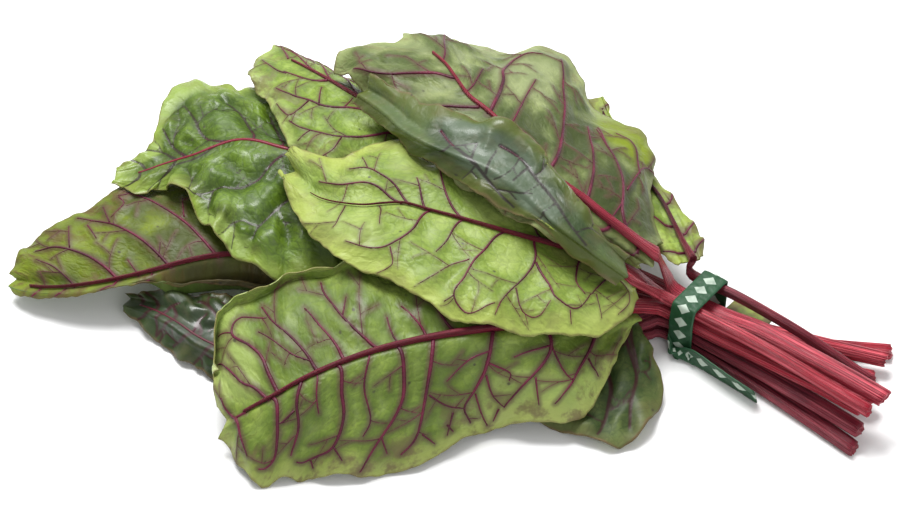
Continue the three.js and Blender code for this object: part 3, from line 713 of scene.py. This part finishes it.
def leafMaterial(name, look):
    # waxy leaf skin: two greens in patches, a paler margin, dark specks, purple beside the veins; painted shade
    # and light too
    s = Shader(name)
    place = s.leafPlace("leafPlace")
    gap, margin, shade = s.attribute("gap"), s.attribute("toMargin"), s.attribute("shade")
    patch = s.attribute("patch") * look["patch"]
    broad = s.noise(place, 0.03, 3, 0.55)
    mottle = s.noise(place, 0.0075, 4, 0.62)
    grain = s.noise(place, 0.0018, 3, 0.6)
    net = s.cells(s.warp(place, 0.0025, 0.004), 0.0046)
    edge = 1 - (margin + (s.noise(place, 0.011, 2) - 0.5) * 0.014).between(0.0, look["edgeWidth"])
    rim = 1 - (margin + (s.noise(place, 0.006, 2) - 0.5) * 0.004).between(0.0, 0.0016)
    blush = s.noise(place, 0.014, 4, 0.7).between(0.48, 0.64) * (1 - margin.between(0.004, 0.032))
    specks = 1 - s.cells(place, 0.0075, "F1").between(0.05, 0.14)
    chosen = s.noise(place, 0.021, 1).between(0.5, 0.6)
    green = s.paint(
        s.mix(broad.between(0.32, 0.68), look["light"], look["dark"]),
        (mottle.between(0.42, 0.78) * look["mottle"], look["deep"]),
        ((1 - mottle).between(0.55, 0.8) * look["pale"], look["paleTint"]),
        (grain.between(0.45, 0.75) * look["grain"], look["deep"]),
        ((1 - net.between(0.0, 0.1)) * look["net"], look["netTint"]),
        # painted shade in the hollows beside the veins, and painted light on the blisters' crowns between them
        ((1 - gap.between(0.0, 0.0055)) * look["paintedValleyShade"], look["deep"]),
        (gap.between(0.003, 0.009) * look["paintedCrownLight"], look["paleTint"]),
        # painted shade where the shade attribute is above 0, painted light where it is below 0
        (shade.between(0.0, 1.0) * 0.92, look["deep"]),
        ((0 - shade).between(0.0, 1.0) * 0.8, look["paleTint"]),
        # patches: a paler green on the crinkled leaf's curled margins and a browner tint near the middle leaf's
        # base, but painted shadow on the left leaf, painted light through the top leaf's flap and painted sheen
        # on the folded leaf
        (patch, look["patchTint"]),
        (edge * look["edge"] * (1 - patch), look["edgeTint"]),
        (rim * look["rim"], look["rimTint"]),
        (blush * look["blush"], look["blushTint"]),
        ((1 - gap.between(0.0, look["besideWidth"])) * look["beside"], look["besideTint"]),
        (specks * chosen * look["specks"], look["speckTint"]))
    height = mottle * 0.5 + grain * 0.15 + net.between(0.0, 0.3) * 0.14
    normal = s.bump(height, look["bump"])
    rough = s.noise(place, 0.012, 2).between(0.25, 0.75) * 0.2 + look["rough"]
    wax = s.noise(place, 0.016, 3).between(0.45, 0.65) * look["wax"]
    skin = s.skin({"Base Color": green, "Roughness": rough, "Normal": normal, "Coat Weight": wax,
                   "Coat Roughness": look["coatRough"], "Specular IOR Level": look["gloss"]})
    through = s.node("BsdfTranslucent", {"Color": s.mix(0.5, green, look["through"])})
    return s.finish(s.node("MixShader", {0: look["thin"], 1: skin, 2: through}))


def veinMaterial(name, dark, bright):
    s = Shader(name)
    place = s.place()
    tone = s.noise(place, 0.014, 3)
    fine = s.noise(place, 0.0012, 2)
    colour = s.mix(tone.between(0.35, 0.7), dark, bright)
    colour = s.mix(fine.between(0.5, 0.8) * 0.4, colour, dark)
    return s.finish(s.skin({"Base Color": colour, "Roughness": 0.5, "Normal": s.bump(fine, 0.0003),
                            "Specular IOR Level": 0.3}))


def stalkMaterial(name, look):
    # crimson skin with fine fibres along it, paler on its ridges, darker and duller along the midrib
    s = Shader(name)
    uv = s.leafPlace("UVMap")
    place = s.place()
    fibres = s.noise(s.stretch(uv, (16, 46, 1)), 1.0, 4, 0.65)
    bands = s.noise(s.stretch(uv, (4, 15, 1)), 1.0, 2, 0.5)
    hairs = s.noise(s.stretch(uv, (30, 130, 1)), 1.0, 2, 0.5)
    blotch = s.noise(place, 0.02, 2)
    onBlade = s.attribute("onBlade")
    flesh = s.mix(s.noise(place, 0.0013, 2).between(0.4, 0.62), look["flesh"], look["red"])
    colour = s.paint(
        s.mix(fibres.between(0.34, 0.62), look["deep"], look["red"]),
        (bands.between(0.5, 0.72) * look["pale"], look["pink"]),
        (onBlade * look["leafDull"], look["ribTint"]),
        (hairs.between(0.5, 0.66) * look["streak"] * (1 - onBlade * 0.72), look["pink"]),
        ((1 - hairs).between(0.52, 0.68) * look["streak"], look["deep"]),
        (blotch.between(0.5, 0.75) * look["dull"], look["dullTint"]),
        (s.attribute("cutEnd").between(0.3, 0.9), flesh))
    height = fibres * 0.6 + hairs * 0.4
    return s.finish(s.skin({"Base Color": colour, "Roughness": 0.3 + 0.2 * fibres, "Coat Weight": 0.1,
                            "Coat Roughness": 0.3, "Specular IOR Level": 0.35,
                            "Normal": s.bump(height, 0.0016)}))


underVein = veinMaterial("vein red", (60, 6, 17), (130, 12, 34))
darkVein = veinMaterial("vein maroon", (35, 5, 12), (75, 8, 20))
crimson = dict(
    deep=(100, 1, 8), red=(460, 4, 26), pink=(850, 160, 200), pale=0.7, streak=0.75, dull=0.3,
    dullTint=(80, 6, 18), flesh=(500, 60, 90), leafDull=0.85, ribTint=(130, 6, 22))
stalkRed = stalkMaterial("stalk crimson", crimson)
brightRed = stalkMaterial("stalk bright red", dict(
    crimson, red=(420, 9, 36), dull=0.1, leafDull=0.55, ribTint=(260, 10, 35)))
stalkMaroon = stalkMaterial("stalk maroon", dict(
    crimson, deep=(60, 3, 10), red=(240, 8, 26), pink=(500, 100, 130), pale=0.4, dull=0.5,
    dullTint=(50, 6, 16), flesh=(340, 50, 70), leafDull=0.8, ribTint=(60, 6, 16)))

palette = dict(
    light=(250, 345, 50), dark=(140, 225, 26), deep=(75, 120, 14), mottle=0.62, pale=0.4,
    paleTint=(370, 470, 130), grain=0.5, net=0.34, netTint=(100, 150, 30), paintedValleyShade=0.55, paintedCrownLight=0.3, patch=0.0,
    patchTint=(200, 250, 10), edge=0.6, edgeWidth=0.011, edgeTint=(360, 420, 70), rim=0.5,
    rimTint=(160, 90, 50), blush=0.65, blushTint=(140, 100, 45), beside=0.72, besideWidth=0.0021,
    besideTint=(100, 60, 35), specks=0.8, speckTint=(30, 22, 14), bump=0.0012, rough=0.44, wax=0.14,
    coatRough=0.24, gloss=0.34, through=(400, 600, 50), thin=0.14)
upperPalette = dict(
    palette, light=(75, 140, 20), dark=(35, 80, 12), deep=(14, 36, 6), pale=0.3, paleTint=(160, 240, 70),
    netTint=(12, 30, 8), edge=0.35, edgeTint=(140, 200, 30), rough=0.36, wax=0.3, coatRough=0.2, thin=0.06,
    beside=0.9, besideWidth=0.0009, besideTint=(40, 7, 10), paintedValleyShade=0.6, paintedCrownLight=0.2, gloss=0.45, blush=0.2)

leafDefaults = dict(
    rows=176, columns=90, thickness=0.0006, ribHalf=0.0045, blister=0.0011, pillow=0.006, crinkle=0.0004,
    ruffle=0.0016, ruffleSize=0.016, notch=0.0016, veinRadius=0.0009, veinRaise=-0.1, veinSpacing=0.021,
    forkSpacing=(0.015, 0.009), forkLength=(0.015, 0.007), forkRadius=(0.00024, 0.00016), autoSides=(-1, 1),
    autoFrom=0.06, autoTo=0.93, stalkSides=60, ribs=17, ribScale=0.68, ribTaper=0.35, sink=0.0009,
    stalk=stalkRed)


def buildLeaf(settings):
    leaf = dict(leafDefaults, slot=settings["name"] + "_green")
    leaf.update(settings)
    skin = Skin(cadBlade(leaf["name"] + "_blade"), leaf["rows"], leaf["columns"])
    veins = growVeins(leaf, skin)
    shapeBlade(leaf, skin, veins)
    top = leafMaterial(leaf["name"] + " under skin", dict(palette, **leaf.get("under", {})))
    bottom = leafMaterial(leaf["name"] + " upper skin", dict(upperPalette, **leaf.get("upper", {})))
    if leaf["faceUp"]:
        top, bottom = bottom, top
    bladePiece(leaf, skin, (top, bottom))
    if leaf.get("stalkNode", True):
        rings = cadStalk(leaf["name"] + "_stalk", leaf["faceUp"])
        stalkPiece(leaf, skin, veins, rings, (leaf["stalk"], darkVein if leaf["faceUp"] else underVein))
    print(leaf["name"], len(veins), "veins")


# Each row of mains and branches is a vein's places, u, v, u, v and so on, in percent: u from the leaf's
# base to its tip, v from the midrib to the right hand margin at -100 or the left hand one at 100.
# A patch is its place, length and width in percent, and a shade has its amount too: above 0 it is painted
# shade, below 0 painted light.
leftDarkLeaf = dict(
    name="left_dark_leaf", faceUp=True, seed=10, rows=120, columns=60, blister=0.0028, crinkle=0.0002,
    stalk=stalkMaroon, topRib=(0.05, 0.92, 0.0011, 0.0005),
    upper=dict(
        light=(30, 45, 18), dark=(12, 20, 8), wax=0.5, coatRough=0.16, edge=0.1, pale=0.1, bump=0.0004,
        gloss=0.35),
    mains=[(79, 0, 78, -20, 71, -47), (64, 0, 64, -20, 59, -44), (80, 0, 78, 80)])
buildLeaf(leftDarkLeaf)

frontDarkLeaf = dict(
    name="front_dark_leaf", faceUp=True, seed=9, rows=120, columns=72, blister=0.0024, stalk=stalkMaroon,
    topRib=(0.05, 0.9, 0.001, 0.0005),
    upper=dict(
        light=(100, 135, 35), dark=(55, 85, 20), edge=0.45, wax=0.1, rough=0.48, gloss=0.3, bump=0.0005,
        edgeTint=(130, 120, 40), rim=0.6),
    mains=[(10, 0, 16, 27, 20, 55, 28, 73, 32, 89), (28, 0, 31, 44, 36, 64, 43, 91)])
buildLeaf(frontDarkLeaf)

leftLeaf = dict(
    name="left_leaf", faceUp=False, seed=3, autoSides=(1,), autoFrom=0.5, ribScale=0.55, ribs=10,
    under=dict(
        light=(150, 200, 4), dark=(80, 110, 5), deep=(55, 70, 10), paleTint=(240, 310, 20), wax=0.08,
        gloss=0.25, edgeTint=(220, 270, 50), edge=0.45, blush=0.95, blushTint=(120, 85, 25), patch=0.95,
        patchTint=(60, 45, 22)),
    shades=[(40, -15, 12, 30, 90), (34, -80, 16, 40, 80), (78, -60, 30, 40, -50)],
    hollows=[(1, 0.16, 0.52, 0.009)],
    # painted shadow: the dark brown patch darkens the near half, below the overhanging midrib
    patches=[(30, 60, 30, 66)],
    mains=[
        (59, 0, 61, -22, 66, -48, 70, -63, 75, -75), (46, 0, 48, -22, 52, -50, 55, -68, 60, -89),
        (34, 0, 37, -28, 41, -57, 45, -80, 49, -89)],
    branches=[
        (66, -51, 63, -82), (59, -72, 59, -51), (54, -64, 53, -87), (38, -44, 36, -67),
        (49, -87, 49, -76, 53, -69), (54, 0, 55, -22), (48, -18, 46, -27), (70, 0, 73, -30, 78, -55)])
buildLeaf(leftLeaf)

crinkledLeaf = dict(
    name="crinkled_leaf", faceUp=True, seed=4, blister=0.0042, topRib=(0.05, 0.9, 0.0017, 0.0005), pillow=0.008,
    crinkle=0.0011, ruffle=0.0042, ruffleSize=0.02, autoFrom=0.75,
    upper=dict(
        light=(130, 215, 14), dark=(60, 115, 8), deep=(22, 45, 4), edge=0.85, edgeWidth=0.014,
        edgeTint=(240, 330, 50), wax=0.35, gloss=0.3, patch=0.75, besideTint=(22, 12, 8), besideWidth=0.0006,
        patchTint=(280, 380, 90)),
    patches=[(84, -62, 6, 40), (66, -95, 12, 22), (55, 92, 10, 12)],
    mains=[
        (58, 0, 65, -24, 66, -42, 68, -70), (51, 0, 51, -40, 54, -67), (44, 0, 43, -30, 42, -55),
        (36, 0, 43, 15, 50, 40, 60, 54, 69, 91), (30, 0, 38, 36, 43, 60, 46, 84), (72, 0, 75.5, -30, 76, -76)],
    branches=[(45, 69, 50, 76, 54, 98), (62, 0, 68, 12, 78, 13)])
buildLeaf(crinkledLeaf)

frontLeaf = dict(
    name="front_leaf", faceUp=False, seed=1, autoSides=(), veinRadius=0.00105, blister=0.0017, pillow=0.0075,
    shades=[
        (84, -50, 12, 40, -70), (25, 75, 14, 35, -60), (40, 20, 10, 30, 50), (75, 50, 14, 35, 40),
        (60, -30, 12, 30, 40)],
    under=dict(dark=(150, 230, 30), blush=0.8, edgeWidth=0.014, edgeTint=(400, 440, 120), paintedValleyShade=0.7),
    # painted light: the upper skin shows only on the curled strip, and these pale greens stand for light
    # falling on it
    upper=dict(
        light=(500, 600, 200), dark=(380, 470, 130), deep=(240, 280, 80), beside=0.8, netTint=(200, 250, 70),
        edgeTint=(520, 600, 240), edge=0.6, blush=0.3, wax=0.2, besideWidth=0.0014, paintedValleyShade=0.2,
        rimTint=(120, 60, 40)),
    curls=[(-1, 0.26, 0.95, 0.018, 0.0018)],
    mains=[
        (77, 0, 79, -16, 84, -27, 88, -59), (74, 0, 74.5, -19, 75, -29, 79, -44, 78, -50, 75, -51, 70, -44),
        (63, 0, 64, -16, 66, -26, 69, -39, 70, -53), (57, 0, 57.5, -16, 60, -28, 62, -39),
        (49, 0, 51, -14, 55, -29, 57, -46, 57, -55), (42, 0, 42, -14, 44, -30), (36, 0, 38, -19, 38, -34),
        (92, 0, 89, 20, 85, 50, 82, 73), (86, 0, 93, -2, 96, -22, 95, -50),
        (76, 0, 74, 28, 73, 55, 73.5, 75, 78, 83), (68, 0, 69, 20, 67, 50, 68, 78),
        (59, 0, 58, 22, 56, 50, 57, 76, 61, 82, 66, 84), (47, 0, 46, 36, 47, 56, 50, 78, 52, 96),
        (41, 0, 42, 30, 43, 60, 44, 78, 46, 87), (30, 0, 32, 37, 34, 56, 36, 70, 35, 87),
        (21, 0, 21, 24, 23, 42, 26, 60, 29, 79), (13, 0, 15, 35, 18, 56, 19, 64)],
    branches=[
        (79, -47, 83, -57), (64, -16, 68, -23, 73, -38), (55, -29, 53, -39), (46, 0, 47, -16, 47, -24),
        (69, 31, 72, 37, 74, 36), (64, 0, 64, 20, 62, 42), (57, 76, 55, 89), (62, 84, 61, 91),
        (52, 0, 53, 25, 51, 55, 52, 69), (49, 71, 48, 84), (43, 76, 41, 88), (42, 47, 39, 62, 36, 71),
        (38, 70, 39, 87), (39, 78, 38, 87), (31, 22, 35, 27, 39, 41), (32, 31, 28, 44, 28, 53),
        (32, 44, 31, 65, 29, 80), (34, 60, 33, 80, 32, 93), (30, 80, 31, 91), (24, 53, 24, 82),
        (21, 24, 25, 27, 27, 30), (21, 24, 20, 49, 19, 63), (19, 64, 22, 82), (16, 49, 15, 82)])
buildLeaf(frontLeaf)

upperLeftLeaf = dict(
    name="upper_left_leaf", faceUp=False, seed=5, autoSides=(-1,), blister=0.0024, pillow=0.008, crinkle=0.0008,
    under=dict(
        light=(280, 390, 60), dark=(180, 280, 35), edgeTint=(420, 500, 160), beside=0.5, besideWidth=0.0015,
        paintedValleyShade=0.35),
    mains=[
        (43, 0, 49, 16, 56, 32, 63, 45, 70, 66, 74, 72), (33, 0, 38, 30, 45, 58, 52, 69, 61, 84),
        (66, 0, 71, 20, 82, 31), (22, 0, 28, 30, 34, 60, 36, 90)],
    branches=[
        (62, 45, 62, 80, 68, 86), (45, 60, 44, 80, 46, 93), (54, 73, 55, 89), (80, 31, 88, 42, 95, 44),
        (59, 36, 64, 18), (52, 22, 53, 5)])
buildLeaf(upperLeftLeaf)

rightLeaf = dict(
    name="right_leaf", faceUp=False, seed=8, rows=110, columns=48, stalk=stalkMaroon, stalkSides=32, ribs=8,
    under=dict(light=(300, 420, 70), dark=(200, 300, 40)))
buildLeaf(rightLeaf)

rightLeafWing = dict(
    name="right_leaf_wing", slot="right_leaf_green", faceUp=False, seed=12, rows=40, columns=27,
    stalkNode=False,
    under=dict(light=(200, 260, 50), dark=(140, 150, 40)))
buildLeaf(rightLeafWing)

middleLeaf = dict(
    name="middle_leaf", faceUp=False, seed=2, autoSides=(), veinRadius=0.0007, blister=0.0016, crinkle=0.0002,
    ribTaper=0.8, ribScale=0.6, forkRadius=(0.0002, 0.00014),
    shades=[(17, 50, 10, 30, 35), (72, 50, 12, 40, -50), (10, 80, 14, 30, -60)],
    under=dict(
        light=(300, 400, 75), dark=(200, 300, 40), deep=(130, 200, 25), paleTint=(400, 480, 160),
        edgeTint=(400, 470, 100), edge=0.75, edgeWidth=0.016, blush=0.3, patch=0.5, patchTint=(200, 200, 50),
        mottle=0.35, beside=0.5, besideWidth=0.0014, paintedValleyShade=0.35),
    patches=[(19, 10, 6, 25)],
    mains=[
        (50, 0, 53, 30, 57, 54, 61, 67, 68, 74), (43, 0, 45, 23, 48, 45),
        (34, 0, 37, 22, 40, 40, 42, 60, 44, 80, 41, 92, 36, 80), (28, 0, 28, 22, 30, 42, 33, 62, 35, 78),
        (28, 27, 26, 50, 25, 67, 22, 76, 19, 55), (18, 0, 20, 20, 21, 40, 20, 56),
        (9, 0, 13, 22, 17, 44, 19, 56), (55, 0, 60, -25, 66, -38, 74, -56), (51, 0, 54, -25, 56, -42),
        (43, 0, 48, -27, 51, -55, 52, -75), (57, 0, 63, -20, 70, -29, 77, -31, 84, -29),
        (26, 0, 28, -18, 29, -30)],
    branches=[
        (58, 62, 57, 82, 60, 98), (41, 40, 45, 52, 49, 76, 52, 93), (44, 80, 46, 89),
        (32, 58, 31, 80, 28, 85, 26, 71), (35, 78, 36, 91), (23, 78, 23, 90), (18, 56, 18, 84),
        (13, 22, 11, 50, 12, 80, 15, 89), (69, -44, 71, -67), (73, 3, 72, 44, 72, 60), (64, 3, 62, 36)])
buildLeaf(middleLeaf)

topLeaf = dict(
    name="top_leaf", faceUp=False, seed=6, autoSides=(1,), autoTo=0.55, blister=0.0026, pillow=0.011,
    crinkle=0.0006, ruffle=0.0028, ruffleSize=0.022, stalk=brightRed, veinRadius=0.0011,
    under=dict(
        light=(240, 285, 100), dark=(80, 115, 25), deep=(40, 58, 10), paleTint=(380, 430, 210), paintedValleyShade=0.5,
        edgeTint=(320, 380, 140), blush=0.45, patch=0.9, patchTint=(190, 250, 4), wax=0.1, rough=0.48,
        grain=0.3),
    # painted light: the yellow-green patch on the flap stands for light shining through it
    patches=[(30, -84, 11, 30)],
    shades=[
        (24, -25, 11, 30, 100), (42, -45, 5, 35, 100), (60, -50, 10, 35, -55), (53, -15, 8, 20, 80),
        (10, -60, 8, 40, 70)],
    mains=[
        (76, 0, 78, 30, 79, 70, 82, 91), (65, 0, 67, 30, 68, 56), (62, 0, 64, -31, 66, -46, 65, -70, 61, -82),
        (43, 0, 44, -27, 49, -58, 57, -84), (30, 0, 34, -27, 41, -62),
        (9, 0, 20, -22, 25, -36, 33, -50, 39, -71)],
    branches=[
        (22, -36, 22, -70, 17, -97), (22, -60, 28, -71, 35, -75), (21, -22, 21, -10), (34, -53, 39, -67),
        (71, 0, 71, -36), (84, 0, 86, -30, 87, -70), (55, 0, 57, -30, 58, -50)])
buildLeaf(topLeaf)

foldedLeaf = dict(
    name="folded_leaf", faceUp=True, seed=7, rows=190, columns=84, blister=0.0024, crinkle=0.0005, pillow=0.008,
    autoSides=(), ruffle=0.0022,
    upper=dict(
        light=(65, 95, 30), dark=(35, 60, 15), edge=0.8, edgeWidth=0.013, edgeTint=(80, 100, 8), coatRough=0.22,
        rough=0.4, bump=0.0006, gloss=0.4, net=0.1, patch=0.9, patchTint=(85, 120, 75), besideWidth=0.0007,
        besideTint=(16, 8, 8)),
    shades=[(56, 75, 30, 40, 80), (20, -20, 14, 50, 30)],
    # painted sheen: the grey-blue patches stand for the lamps' reflections on the glossy skin
    patches=[(50, -5, 17, 62), (30, 20, 10, 50), (66, -50, 10, 30)],
    mains=[
        (72, -27, 66, -9, 57, 9, 50, 31, 42, 62, 34, 80), (52, -40, 44, -38, 38, -25, 28, -13, 16, 2, 11, 10)],
    branches=[(49, 27, 51, 2, 52, -27), (40, -33, 41, -13, 41, 7), (57, 9, 59, -27), (66, -9, 66, 31)])
buildLeaf(foldedLeaf)


# Each row of the tie's tail and strand is its distance along the bundle, distance out from the band,
# height, turn and half width, in millimetres and degrees.
tie = dict(
    middle=(0.11665, -0.04986), turn=-37, half=0.0065, width=0.0062, front=-0.01465, green=(8, 52, 18),
    lightGreen=(13, 65, 24), thickness=0.0006, rounding=14, pale=(30, 100, 50), mark=(420, 500, 420),
    markPitch=0.0072,
    tail=[
        (-5.5, 0.6, 4.6, 60, 2.0), (-2.5, -1.6, 4.2, 150, 2.1), (1, -2.4, 4.2, 230, 2.3),
        (5, -2.2, 5.4, 262, 3.6), (12, -2.6, 6.3, 280, 5.4), (22, -3.8, 6.2, 288, 5.9),
        (34, -5.4, 6.1, 292, 5.9), (46, -7, 6.0, 292, 5.6)],
    strand=[
        (-6.2, 0.6, 7.2, 100, 2.6), (-4.2, -1.2, 5.2, 60, 2.0), (-1.5, -3.2, 3.0, -30, 1.7),
        (1.5, -2.6, 2.2, -120, 1.7), (4, -0.9, 3.2, -200, 1.8), (6.4, -1.6, 5.0, -250, 2.0),
        (8.0, -3.3, 4.6, -280, 1.9)])


def tiePoint(distance, side, height):
    # distance along the bundle from the tie, sideways from its middle, height, in metres
    turn = math.radians(tie["turn"])
    x = tie["middle"][0] + distance * math.cos(turn) - side * math.sin(turn)
    y = tie["middle"][1] + distance * math.sin(turn) + side * math.cos(turn)
    return Vector((x, y, max(height, 0.0005)))


def tieMaterial():
    # paper printed with a row of pale diamonds, worn along its creases and edges
    s = Shader("tie paper")
    uv = s.leafPlace("UVMap")
    fibres = s.noise(s.place(), 0.0012, 3)
    wear = s.noise(s.place(), 0.009, 3, 0.6)
    along, across = (s.node("SeparateXYZ", {"Vector": uv}, axis) for axis in "XY")
    edge = s.absolute(across - 0.5)
    step = along.maths("FRACT", along / tie["markPitch"], 0) - 0.5
    mark = 1 - (s.absolute(step) * 1.4 + edge * 1.9).between(0.5, 0.56)
    colour = s.paint(
        s.mix(fibres.between(0.3, 0.7), tie["green"], tie["lightGreen"]),
        (wear.between(0.5, 0.75) * 0.5, tie["pale"]),
        (edge.between(0.4, 0.49) * 0.6, tie["pale"]),
        (mark * (1 - wear.between(0.5, 0.8) * 0.6), tie["mark"]))
    return s.finish(s.skin({"Base Color": colour, "Roughness": 0.42 + fibres * 0.2, "Specular IOR Level": 0.35,
                            "Normal": s.bump(fibres * 0.5 + wear * 0.5, 0.0004)}))


def tieStrip(mesh, centres, wide, thin, sections, closed):
    # a strip of paper over wire, from rows of middles with their half widths and outward directions
    count = len(centres) - (1 if closed else 0)
    lengths = [(centres[k + 1] - centres[k]).length for k in range(len(centres) - 1)]
    run = np.concatenate([[0], np.cumsum(lengths)])

    def put(vert, i, j):
        v = vert.co.y
        row = i % count
        wave = 0.00025 * noise.noise(Vector((run[row] * 420, v * 2.2, 5)))
        ridge = 0.00045 * math.exp(-(v / 0.16) ** 2) - 0.0003 * v * v
        vert.co = centres[row] + wide[row] * v + thin[row] * (ridge + wave)
        vert.co.z = max(vert.co.z, 0.0004)

    layGrid(mesh, len(centres), sections, put, 0, run[-1])


def tieBand(mesh):
    # round all the stalks, following the outside of the part's own band
    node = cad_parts["twist_tie"]
    bandPoints, inset = 240, 0.0004
    middle = tiePoint(0, 0, 0)
    along = (tiePoint(1, 0, 0) - middle).normalized()
    across = Vector((-along.y, along.x, 0))
    flat = []
    for vert in node.data.vertices:
        place = node.matrix_world @ vert.co
        off = place - middle
        if abs(abs(off @ along) - tie["half"]) < 0.0002:
            flat.append((off @ across, place.z))
    corners = [flat[k] for k in geometry.convex_hull_2d(flat)]
    corners.append(corners[0])
    lengths = np.linalg.norm(np.diff(np.array(corners), axis=0), axis=1)
    station = np.concatenate([[0], np.cumsum(lengths)])
    places = np.linspace(0, station[-1], bandPoints + 1)[:-1]
    loop = np.stack([np.interp(places, station, [c[k] for c in corners]) for k in (0, 1)], axis=1)
    for _ in range(tie["rounding"]):
        loop = (np.roll(loop, 1, axis=0) + loop * 2 + np.roll(loop, -1, axis=0)) / 4
    ahead = unit(np.roll(loop, -1, axis=0) - np.roll(loop, 1, axis=0))
    outward = np.stack([ahead[:, 1], -ahead[:, 0]], axis=1)
    if ((loop - loop.mean(axis=0)) * outward).sum() < 0:
        outward = -outward
    loop = loop - outward * inset
    centres = [tiePoint(0, a, b) for a, b in np.concatenate([loop, loop[:1]])]
    thin = [across * a + Vector((0, 0, b)) for a, b in outward]
    wide = []
    for k, (a, b) in enumerate(loop):
        slant = 0.0006 * noise.noise(Vector((k * 0.05, 1, 2)))
        wide.append(along * tie["width"] + across * slant)
    tieStrip(mesh, centres, wide, thin, 12, True)


def tieTail(mesh, rows, steps):
    weights = splineWeights(len(rows), steps * (len(rows) - 1))
    fine = weights @ np.array(rows)
    centres, wide, thin = [], [], []
    turn = math.radians(tie["turn"])
    across = Vector((-math.sin(turn), math.cos(turn), 0))
    for distance, out, height, angle, half in fine:
        angle = math.radians(angle)
        centres.append(tiePoint(distance / 1000, tie["front"] + out / 1000, height / 1000))
        wide.append((across * math.cos(angle) + Vector((0, 0, math.sin(angle)))) * half / 1000)
        thin.append(across * -math.sin(angle) + Vector((0, 0, math.cos(angle))))
    tieStrip(mesh, centres, wide, thin, 10, False)


def makeTie():
    mesh = bmesh.new()
    tieBand(mesh)
    tieTail(mesh, tie["tail"], 14)
    tieTail(mesh, tie["strand"], 10)
    closeUp(mesh)
    piece = addObject("twist_tie_fine", finishedMesh(mesh, "twist_tie_fine"), [tieMaterial()])
    addThickness(piece, tie["thickness"])
    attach(piece, "root")
    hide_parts("twist_tie")
    print("twist tie")


makeTie()


stage = dict(
    height=1.25, elevation=42, lens=101.67, sensor=36, target=(0.00795, 0.00654, 0), daylight=0.5,
    floorSize=6.0, floorColour=(900, 900, 900), floorLight=(920, 920, 920))


def makeStage():
    mesh = bmesh.new()
    bmesh.ops.create_grid(mesh, x_segments=2, y_segments=2, size=stage["floorSize"])
    s = Shader("floor")
    grain = s.noise(s.place(), 0.4, 2)
    material = s.finish(s.skin({"Base Color": s.mix(grain, stage["floorColour"], stage["floorLight"]),
                                "Roughness": 0.7, "Specular IOR Level": 0.2}))
    floor = addObject("floor", finishedMesh(mesh, "floor"), [material])


def aim(thing, target):
    thing.rotation_euler = (Vector(target) - thing.location).to_track_quat("-Z", "Y").to_euler()


def addSoftLight(name, place, size, power):
    data = bpy.data.lights.new(name, "AREA")
    data.shape = "RECTANGLE"
    data.size, data.size_y = size
    data.energy = power
    lamp = addObject(name, data)
    lamp.location = place
    aim(lamp, (0, 0, 0))


def makeCamera():
    data = bpy.data.cameras.new("camera")
    data.lens = stage["lens"]
    data.sensor_width = stage["sensor"]
    camera = addObject("camera", data)
    rise = math.radians(stage["elevation"])
    target = Vector(stage["target"])
    camera.location = target + stage["height"] * Vector((0, -math.cos(rise), math.sin(rise)))
    aim(camera, target)
    bpy.context.scene.camera = camera


for extra in ("Cube", "Light", "Camera"):
    if extra in bpy.data.objects:
        bpy.data.objects.remove(bpy.data.objects[extra])
makeStage()
makeCamera()
addSoftLight("top softbox", (-0.25, 0.6, 1.4), (1.0, 0.7), 38)
addSoftLight("front fill", (0.6, -1.5, 1.0), (1.2, 0.9), 8)
world = bpy.data.worlds.new("studio")
world.use_nodes = True
background = world.node_tree.nodes["Background"]
background.inputs["Color"].default_value = (1, 1, 1, 1)
background.inputs["Strength"].default_value = stage["daylight"]
bpy.context.scene.world = world
bpy.context.scene.view_settings.view_transform = "Standard"
